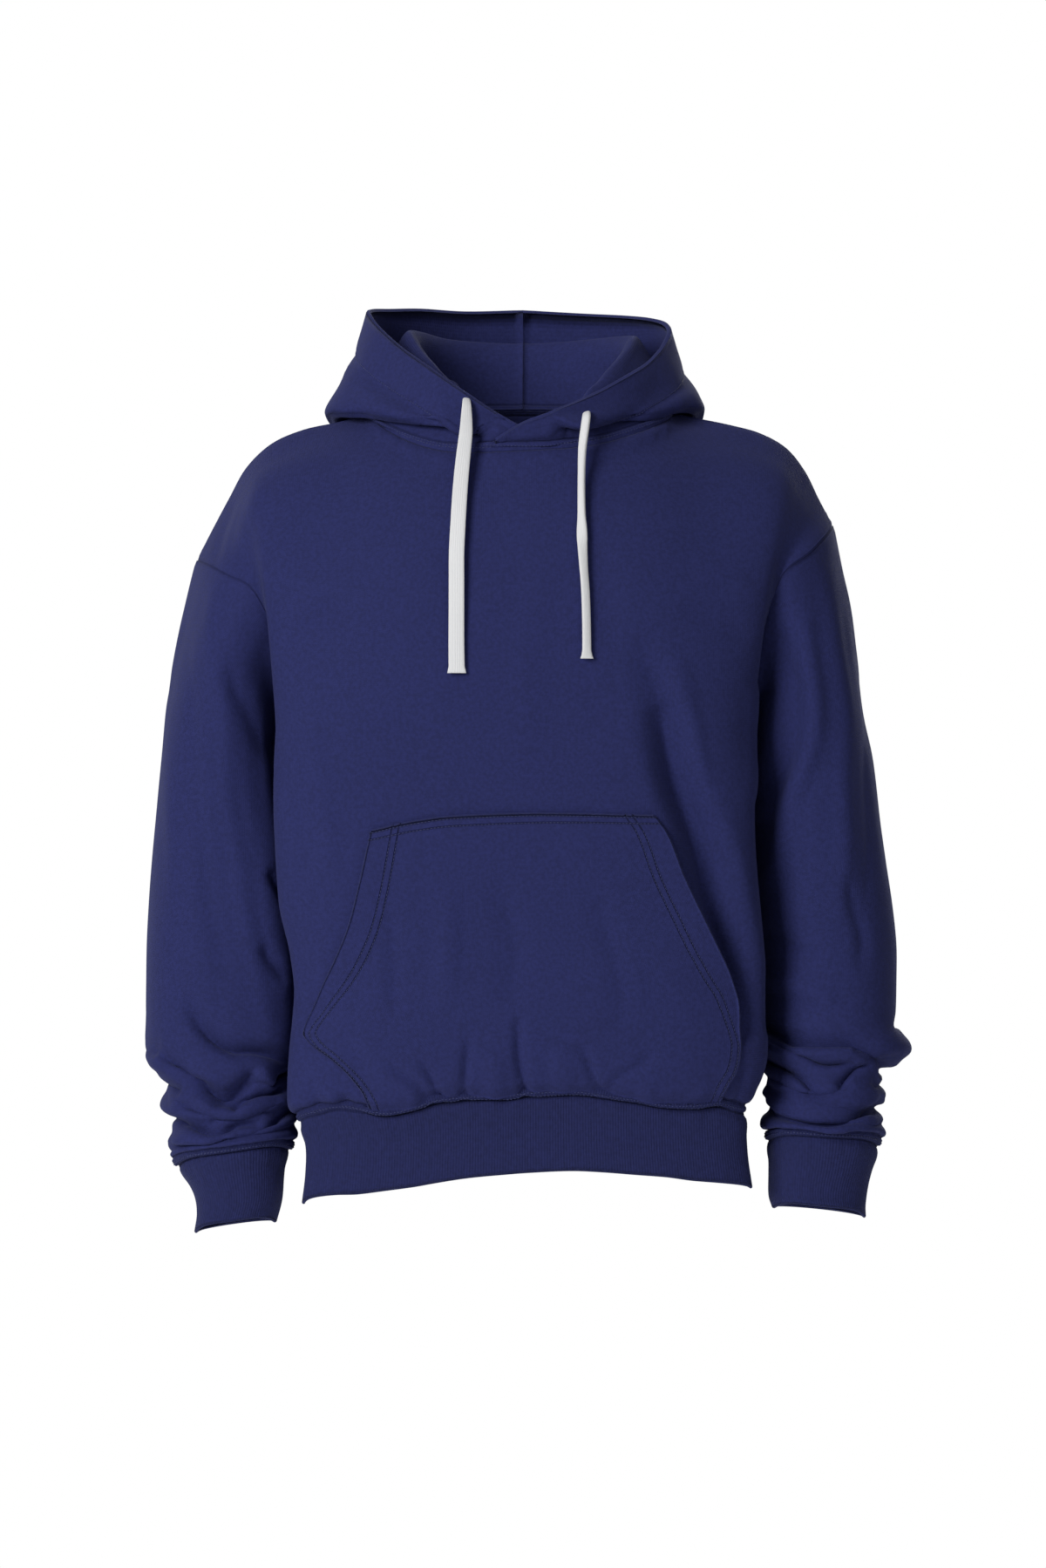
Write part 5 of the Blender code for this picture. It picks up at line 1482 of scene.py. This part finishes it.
# ---------------- materials
class Shader:
    """A material; each value is a number, a colour or the output of another of its nodes."""

    def __init__(self, name):
        self.material = bpy.data.materials.new(name)
        self.material.use_nodes = True
        self.tree = self.material.node_tree

    def put(self, node, values):
        for name, value in values.items():
            if isinstance(value, bpy.types.NodeSocket):
                self.tree.links.new(value, node.inputs[name])
            else:
                node.inputs[name].default_value = value
        return node

    def node(self, kind, values=()):
        return self.put(self.tree.nodes.new(f"ShaderNode{kind}"), dict(values))

    def finish(self, values):
        self.put(self.tree.nodes["Principled BSDF"], values)
        return self.material

    def math(self, operation, *values):
        made = self.node("Math", enumerate(values))
        made.operation = operation
        return made.outputs[0]

    def times(self, a, b):
        return self.math("MULTIPLY", a, b)

    def plus(self, a, b):
        return self.math("ADD", a, b)

    def minus(self, a, b):
        return self.math("SUBTRACT", a, b)

    def wave(self, at, length):
        return self.math("SINE", self.times(at, 2 * math.pi / length))

    def noise(self, scale, detail=2.0, roughness=0.5):
        place = self.node("TexCoord").outputs["Object"]
        values = {"Vector": place, "Scale": scale, "Detail": detail, "Roughness": roughness}
        return self.node("TexNoise", values).outputs["Fac"]

    def mix(self, factor, a, b):
        made = self.tree.nodes.new("ShaderNodeMix")
        made.data_type = "RGBA"
        first, second = (k for k, socket in enumerate(made.inputs) if socket.type == "RGBA")
        self.put(made, {"Factor": factor, first: a, second: b})
        return next(socket for socket in made.outputs if socket.type == "RGBA")

    def bump(self, height, strength, distance, under=None, invert=False):
        made = self.node("Bump", {"Height": height, "Strength": strength, "Distance": distance})
        made.invert = invert
        if under is not None:
            self.put(made, {"Normal": under})
        return made.outputs["Normal"]

    def map_in_mm(self, name):
        """The two places of one of the cloth's maps, in millimetres."""
        uv = self.node("UVMap")
        uv.uv_map = name
        parts = self.node("SeparateXYZ", {0: uv.outputs["UV"]})
        return [self.times(parts.outputs[k], 1 / MM) for k in (0, 1)]

    def sewing_lines(self, pair):
        """1 on the lines of the sewing, whose distance the cloth's second map tells, and 0 away from them."""
        lines = []
        for far, kind in zip(self.map_in_mm("sewing"), ("raised", "plain")):
            place, width = GROOVE["pair" if pair else kind]
            if pair:
                # two lines, half the pair's spacing to both sides of its middle
                middle = PAIR / 2 / MM
                far = self.minus(self.math("ABSOLUTE", self.minus(far, middle)), middle)
            gap = self.math("ABSOLUTE", self.minus(far, place))
            near = self.node("MapRange", {"Value": gap, "From Max": width, "To Min": 1.0, "To Max": 0.0})
            near.interpolation_type = "SMOOTHSTEP"
            lines.append(near.outputs["Result"])
        return self.math("MAXIMUM", *lines)


def shade(colour, by):
    return tuple(min(1.0, c * by) for c in colour[:3]) + (1.0,)


def knit(name, colour, wale, course, depth, rib=None, pair=False):
    """Knit cloth: loops in columns of width wale and rows of height course, in mm, with a soft nap.

    rib gives the spacing and height of its ribs; pair says that its sewing is two rows side by side.
    """
    s = Shader(name)
    u, v = s.map_in_mm("cloth")
    # each loop leans to one side of its column and back: a chevron
    column = s.math("ABSOLUTE", s.wave(u, 2 * wale))
    loop = s.math("SINE", s.plus(s.times(v, 2 * math.pi / course), s.times(column, LOOP_LEAN)))
    height = s.plus(s.times(loop, LOOP_TALL), s.times(column, COLUMN_TALL))
    normal = s.bump(s.plus(height, s.times(s.noise(*NAP), NAP_TALL)), KNIT_BUMP, depth * MM)
    if rib:
        spacing, tall = rib
        normal = s.bump(s.wave(u, spacing), RIB_BUMP, tall * MM, normal)
    lines = s.sewing_lines(pair)
    normal = s.bump(lines, 1.0, GROOVE_DEPTH, normal, invert=True)
    # uneven dye, a melange of fine fibres, and painted shade along the sewing's grooves, standing in for the
    # shade that falls in them
    fibres = s.node("MapRange", {"Value": s.noise(*FIBRES), "From Min": FIBRES_LOW, "From Max": FIBRES_HIGH})
    fine = fibres.outputs["Result"]
    dyed = s.mix(s.noise(*DYE), *(shade(colour, by) for by in DYES))
    cloth = s.mix(0.5, dyed, s.mix(fine, *(shade(colour, by) for by in SPECKS)))
    return s.finish({
        # the colour is darkened along the sewing lines: painted shade in the grooves
        "Base Color": s.mix(s.times(lines, PAINTED_GROOVE_SHADE_WEIGHT), cloth, shade(colour, PAINTED_GROOVE_SHADE_TONE)),
        "Roughness": s.plus(s.times(fine, 0.12), 0.82),
        "Normal": normal,
        "Sheen Weight": 0.10,
        "Sheen Roughness": 0.45,
        "Sheen Tint": SHEEN,
        "Specular IOR Level": 0.15,
    })


def braid(name, colour):
    """Flat braid: two sets of strands that cross in a fine herringbone."""
    s = Shader(name)
    u, v = s.map_in_mm("cloth")
    height = s.times(s.wave(s.plus(u, v), STRAND), s.wave(s.minus(u, v), STRAND))
    # the colour is darker where the strands dip and lighter on their crowns: painted shade between the
    # strands
    depth = s.plus(s.times(height, 0.5), 0.5)
    return s.finish({
        "Base Color": s.mix(depth, shade(colour, 0.86), shade(colour, 1.04)),
        "Roughness": 0.75,
        "Normal": s.bump(s.plus(height, s.noise(BRAID_FUZZ)), BRAID_BUMP, BRAID_DEPTH * MM),
        "Sheen Weight": 0.2,
        "Specular IOR Level": 0.3,
    })


def thread(name, colour):
    s = Shader(name)
    return s.finish({
        "Base Color": s.mix(s.noise(THREAD_FUZZ), shade(colour, 0.8), shade(colour, 1.3)),
        "Roughness": 0.55,
    })


# ---------------- pieces
def add(piece):
    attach(piece, "root")
    return piece


def dress(piece, node):
    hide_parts(node)
    return add(piece)


def shape(cloth, rows, seams, raised=(), neck=None, sag=0.0):
    """Gives one piece its creases in front and behind, its slight unevenness and the relief of its seams.

    neck gives the columns of the last row that are sewn to the hood.
    """
    held = hold(cloth, seams)
    height = unevenness(cloth.points) * held
    hang = np.zeros(height.shape)
    for toward, table in zip((-1, 1), rows):
        tall, drop = folds(cloth, table, toward, sag)
        height += tall * held
        hang += drop * held
    for side in raised:
        height += beside_raised(cloth, side, neck if side == "last" else None)
    cloth.lift(height + seam_relief(cloth, seams))
    low, high = (ROLLS_TOP + level for level in SAG_LEVEL)
    cloth.points[..., 2] += hang * (1 - smooth(low, high, cloth.points[..., 2]))
    for side in seams:
        # the sewn edges are drawn back by half the gap between pieces
        grid = from_side(cloth.points, side)
        grid[0] += unit(grid[1] - grid[0]) * SEAM_GAP / 2
    for side in seams:
        away = cloth.from_edge(side)
        found = (away, FAR) if side in raised else (FAR, away)
        if side in raised and neck is not None and side != "first":
            # past the neck's ends the distance is to those ends, and the shoulder seams are plain
            ends = cloth.points[-1, [neck.start, neck.stop], None, None]
            to_end = np.linalg.norm(cloth.points - ends, axis=-1).min(axis=0)
            number = np.arange(cloth.points.shape[1])
            inside = ((number >= neck.start) & (number <= neck.stop))[None]
            found = np.where(inside, away, to_end), np.where(inside, to_end, away)
        for kind in (0, 1):
            cloth.field[..., kind] = np.minimum(cloth.field[..., kind], found[kind])


def ray_tree(cloth):
    """The cloth's middle surface, and the place and normal where a ray from the front meets it."""
    quads = quads_of(numbered(*cloth.points.shape[:2]))
    tree = BVHTree.FromPolygons(cloth.points.reshape(-1, 3).tolist(), quads.tolist())
    return lambda x, z: tree.ray_cast(Vector((x, -1, z)), Vector((0, 1, 0)))[:2]


def side_row(shares):
    """How far the first row of stitches is from the pocket's side edge, by level."""
    return through(POCKET_SIDE_ROW, np.ravel(shares))[:, 0].reshape(np.shape(shares)) * MM


def pocket_cloth(front):
    """The pocket lies on the front: its points are the front's before its creases, moved out."""
    meet = ray_tree(front)
    seam = front.points[0]
    shares, across = (np.linspace(0, 1, count + 1) for count in POCKET_GRID)
    grid, lift = [], []
    for share, (left, right) in zip(shares, through(POCKET_CUT, shares) * MM):
        x = left + (right - left) * across
        bottom = np.interp(x, seam[:, 0], seam[:, 2]) + POCKET_RISE
        upper = through(POCKET_BRIM, x / MM)[:, 0] * MM
        grid.append([tuple(meet(a, b)[0]) for a, b in zip(x, bottom + (upper - bottom) * share)])
        side = np.minimum(across, 1 - across)
        sag = POCKET_SAG * smooth(0, SAG_SIDE, side) * smooth(0, SAG_END, min(share, 1 - share))
        opens, ends = (smooth(*levels, share) for levels in OPEN_LEVELS)
        open_side = POCKET_OPEN * bell(side * (right - left), 0, OPEN_WIDE) * opens
        gathers = np.array([gather(a, share) for a in x]) * GATHERED
        lift.append(FLEECE + POCKET_GAP + sag + open_side * (1 - ends) + gathers)
    patch = Cloth(np.array(grid), FLEECE)
    patch.lift(np.array(lift))
    patch.lift(folds(patch, POCKET_FOLDS, -1)[0] * hold(patch, ("last",), POCKET_HOLD))
    side = np.minimum(patch.from_edge("left"), patch.from_edge("right")) - side_row(shares)[:, None]
    patch.field = np.stack([side, patch.from_edge("last") - POCKET_TOP_ROW], axis=-1)
    patch.doubled = HEMMED * (1 - smooth(-0.001, 0.001, side - PAIR))
    return patch


def keep_off(patch, front):
    """Moves the pocket out wherever it would touch the creased front."""
    meet = ray_tree(front)
    for spot in patch.points.reshape(-1, 3):
        hit, normal = meet(spot[0], spot[2])
        if hit is not None:
            spot[1] = min(spot[1], hit.y - (FLEECE + HEMMED + SEAM_GAP) / max(abs(normal.y), STEEPEST))


def around(a, b, part_a, part_b):
    """Joins a line on the front and a line on the back into one ring."""
    return tuple(np.concatenate([x[part_a], y[part_b]]) for x, y in zip(a, b))


def hood_ring(hoods, distance):
    """A line round the neck on both halves of the hood: left to right in front, right to left behind."""
    shoulder = FINER * (NECK_FRONT + 1)
    ring = []
    for a, b in zip(*(inset(hoods[side], "first", distance) for side in SIGN)):
        front_half = np.concatenate([a[FINER : shoulder + 1][::-1], b[FINER + 1 : shoulder]])
        near = bell(np.arange(len(front_half)), shoulder + 0.5 - FINER, CROSSING[0])
        front_half = even_out(front_half[None], CROSSING[1], near[None])[0]
        ring.append(np.concatenate([front_half, b[shoulder:], a[shoulder + 1 : -1][::-1]]))
    return tuple(ring)


def raised_seam(name, above, below, material, sewing, more=0.0):
    grid, piece = seam_band(f"seam_{name}", above, below, material, more)
    add(piece)
    surface, normal = closed(grid.outer()), closed(grid.normals())
    rows = [(surface[r], normal[r]) for r in (2, -3)]
    return piece, add(stitches(f"stitches_{name}", rows, sewing))


def part_of(line, low, high):
    return tuple(a[low:high] for a in line)


def sew_pocket(patch, sewing):
    rows = [inset(patch, "last", POCKET_TOP_ROW + d) for d in (0, PAIR)]
    level = np.linspace(0, 1, POCKET_GRID[0] + 1)
    below_top = int(POCKET_GRID[0] * (1 - (POCKET_TOP_ROW + PAIR) / CUTS["pocket"][1]))
    for side in ("left", "right"):
        rows += [part_of(inset(patch, side, side_row(level) + d), 2, below_top) for d in (0, PAIR)]
    return (add(stitches("stitches_pocket", rows, sewing)),)


def sew_casing(hoods, sewing):
    rows = []
    for hood in hoods.values():
        deep = hood.from_edge("last")[0] > CASING + 0.006
        rows.append(part_of(inset(hood, "last", CASING), int(np.argmax(deep)), None))
    return (add(stitches("stitches_casing", rows, sewing)),)


def drawcord(side, material):
    """A flat braid along the cord's route, with its width and its turn as it hangs, and a crushed end."""
    shares = np.linspace(0, 1, CORD_STEPS)
    route = spline(np.array(CORD_ROUTE[side], float) * MM, shares)
    beside = np.array([1.0, 0.0, 0.0])
    front = unit(np.cross(beside, unit(np.gradient(route, axis=0))))
    turns = np.linspace(0, 2 * math.pi, CORD_SIDES, endpoint=False)
    rings = []
    for p, out, (width, thick, turn) in zip(route, front, through(CORD_SHAPE[side], shares)):
        c, s = math.cos(math.radians(turn)), math.sin(math.radians(turn))
        x, y = power(np.cos(turns), 0.7) * width * MM / 2, power(np.sin(turns), 0.7) * thick * MM / 2
        rings.append(p + x[:, None] * (beside * c + out * s) + y[:, None] * (out * c - beside * s))
    ends = [rings[i] * 0.02 + rings[i].mean(axis=0) * 0.98 for i in (0, -1)]
    rings = np.array([ends[0], *rings, ends[1]])
    at = along(route)
    _, uv = map_of(np.linspace(0, 2 * CORD_WIDTH, CORD_SIDES + 1), np.array([0, *at, at[-1]]))
    quads = quads_of(closed(numbered(*rings.shape[:2])))
    piece = mesh_object(f"cord_{side}", rings.reshape(-1, 3), quads, uv, material)
    dress(piece, f"drawcord_{side}")


def body_cloths(coarse):
    """The front and the back, with the kinks of the chest and the shoulders evened out, and the hem band."""
    panels = []
    for points, half in zip(coarse, (HALF_FRONT, HALF_BACK)):
        points = finer(points, (FINER, FINER))
        row, column = (np.arange(n) / FINER for n in points.shape[:2])
        across = 1 - before(half, EVEN_SIDE, np.abs(column - half))
        upward = before(UNDERARM_ROW, EVEN_LOW, row) * (1 - before(TOP_ROW, EVEN_HIGH, row))
        panels.append(Cloth(even_out(points, EVEN_ROUNDS, upward[:, None] * across[None]), FLEECE))
    seam = np.concatenate([panel.points[0, :-1] for panel in panels])
    points = settle(finer(hem_band(), (FINER_BAND, FINER), ring=True), seam, FINER_BAND)
    band = Cloth(points, RIB, ring=True, facing=-1.0)
    shift_hem(*panels, band)
    return *panels, band


def sleeve_cloths(side, coarse, front, back):
    loops = []
    for a, b, first in ((*coarse, UNDERARM_ROW), (front.points, back.points, UNDERARM_ROW * FINER)):
        f, g = (0, -1) if side == "left" else (-1, 0)
        loops.append(np.concatenate([a[first:, f], b[first:, g][::-1][1:-1]]))
    points = settle(finer(sleeve(side, loops[0]), (FINER, FINER), ring=True), loops[1], 2 * FINER)
    upper = Cloth(points, FLEECE, ring=True, facing=-SIGN[side])
    rings = np.array(ovals(CUFF[side], side, np.linspace(0, len(CUFF[side]) - 1, CUFF_ROWS)))
    points = settle(finer(rings, (FINER_CUFF, FINER), ring=True), points[-1], FINER_CUFF)
    return upper, Cloth(points, RIB, ring=True, facing=-SIGN[side])


def hood_cloth(side, coarse):
    turn = int(SIGN[side])
    neck = [coarse[0][TOP_ROW, HALF_FRONT + turn * k] for k in range(-1, NECK_FRONT + 1)]
    neck += [coarse[1][TOP_ROW, HALF_BACK - turn * k] for k in range(NECK_BACK - 1, -1, -1)]
    return Cloth(finer(hood_points(side, neck), (FINER_HOOD, FINER)), FLEECE, facing=SIGN[side])


def crease_sleeve(side, upper, cuff):
    reshape_inner_front(side, upper)
    shape(upper, (SLEEVE_FRONT_FOLDS[side], SLEEVE_BACK_FOLDS[side]), ("first", "last"), ("last",), sag=SAG)
    droop(upper, ROLLS_TOP)
    rolled = 1 - smooth(ROLLS_TOP - DROOP_FADE, ROLLS_TOP, upper.points[..., 2])
    upper.points = round_off(upper.points, ROUND_OFF, rolled)
    for cloth, edge, rise in (
        (upper, "last", CUFF_SEAM_ARCH), (cuff, "first", CUFF_SEAM_ARCH), (cuff, "last", CUFF_EDGE_ARCH)
    ):
        arch(cloth, edge, *rise)
    shape(cuff, (), ("first",), ("first",))


def crease_hood(side, hood):
    shape(hood, (HOOD_FOLDS[side],), ("first", "right"), ("first",))
    inside = math.prod(hold(hood, (side,), near) for side, near in zip(("first", "last"), HOOD_HOLD))
    hood.points = round_off(hood.points, HOOD_ROUND_OFF, inside)
    far = hood.from_edge("last")
    # the casing's one row of stitches shows less than a seam, so its line is never quite reached
    hood.field[..., 1] = np.hypot(far - CASING, CASING_FAINT)
    hood.doubled = DOUBLED * (1 - smooth(CASING - 0.001, CASING + 0.003, far))
    hood.lift(casing_relief(hood))


def sew(front, back, band, uppers, cuffs, hoods, patch, fleece, rib, sewing):
    """Raised seams with their two rows of stitches, and the rows on the pocket and the hood."""

    def lines(cloth, side):
        return [inset(cloth, side, distance) for distance in BAND_LINES]

    def rings(side, part_a, part_b):
        return [around(a, b, part_a, part_b) for a, b in zip(lines(front, side), lines(back, side))]

    below = rings("last", NECK_COLUMNS[0], NECK_COLUMNS[1])
    sewn_on = {"front": raised_seam("neck", [hood_ring(hoods, d) for d in BAND_LINES], below, fleece, sewing)}
    above = rings("first", slice(0, -1), slice(0, -1))
    # where the pocket's lower edge is caught in, the seam is thicker
    x, y, _ = above[0][0].T
    left, right = POCKET_CUT[0][1:]
    far, near = HEM_CAUGHT
    caught = smooth(left - far, left + near, x / MM) * (1 - smooth(right - near, right + far, x / MM))
    wavy = HEM_WAVE * (np.sin(x / HEM_WAVES[0] + 1) + np.sin(x / HEM_WAVES[1])) / 2
    more = (HEM_MORE * caught + wavy * caught) * (y < 0)
    sewn_on["hem_band"] = raised_seam("hem", above, lines(band, "first"), rib, sewing, more[:, None])
    for side in SIGN:
        above, below = lines(uppers[side], "last"), lines(cuffs[side], "first")
        sewn_on[f"cuff_{side}"] = raised_seam(f"cuff_{side}", above, below, rib, sewing)
    sewn_on["pocket"] = sew_pocket(patch, sewing)
    sewn_on["hood_left"] = sew_casing(hoods, sewing)
    return sewn_on


def main():
    camera()
    stage()
    fleece = knit("fleece_knit", NAVY, *KNIT)
    pocket_fleece = knit("pocket_knit", NAVY, *KNIT, pair=True)
    rib = knit("rib_knit", NAVY_RIB, *RIB_KNIT, rib=RIBS)
    cord, sewing = braid("braid", OFF_WHITE), thread("thread", THREAD)
    for side in SIGN:
        drawcord(side, cord)

    coarse = body_panel(True), body_panel(False)
    front, back, band = body_cloths(coarse)
    uppers, cuffs, hoods = {}, {}, {}
    for side in SIGN:
        uppers[side], cuffs[side] = sleeve_cloths(side, coarse, front, back)
        hoods[side] = hood_cloth(side, coarse)

    plain_front = Cloth(front.points.copy(), FLEECE)
    plain_front.lift(unevenness(front.points))
    patch = pocket_cloth(plain_front)
    edges = ("first", "last", "left", "right")
    caught_in = tuple(row for row in POCKET_FOLDS if row[0] < 0)
    shape(front, (FRONT_FOLDS + caught_in,), edges, ("first", "last"), NECK_COLUMNS[0])
    keep_off(patch, front)
    shape(back, ((), BACK_FOLDS), edges, ("first", "last"), NECK_COLUMNS[1])
    for side in SIGN:
        crease_sleeve(side, uppers[side], cuffs[side])
        crease_hood(side, hoods[side])
    shape(band, (), ("first",), ("first",))

    grids = {"front": (front, fleece, ()), "back": (back, fleece, ()), "hem_band": (band, rib, ("last",))}
    for side in SIGN:
        grids[f"sleeve_{side}"] = (uppers[side], fleece, ())
        grids[f"cuff_{side}"] = (cuffs[side], rib, ("last",))
        grids[f"hood_{side}"] = (hoods[side], fleece, ("last", "left"))
    grids["pocket"] = (patch, pocket_fleece, ("last", "left", "right"))
    for node, (cloth, material, free) in grids.items():
        piece = shell(f"{node}_cloth", cloth, material, free)
        dress(piece, node)
    sew(front, back, band, uppers, cuffs, hoods, patch, fleece, rib, sewing)


main()
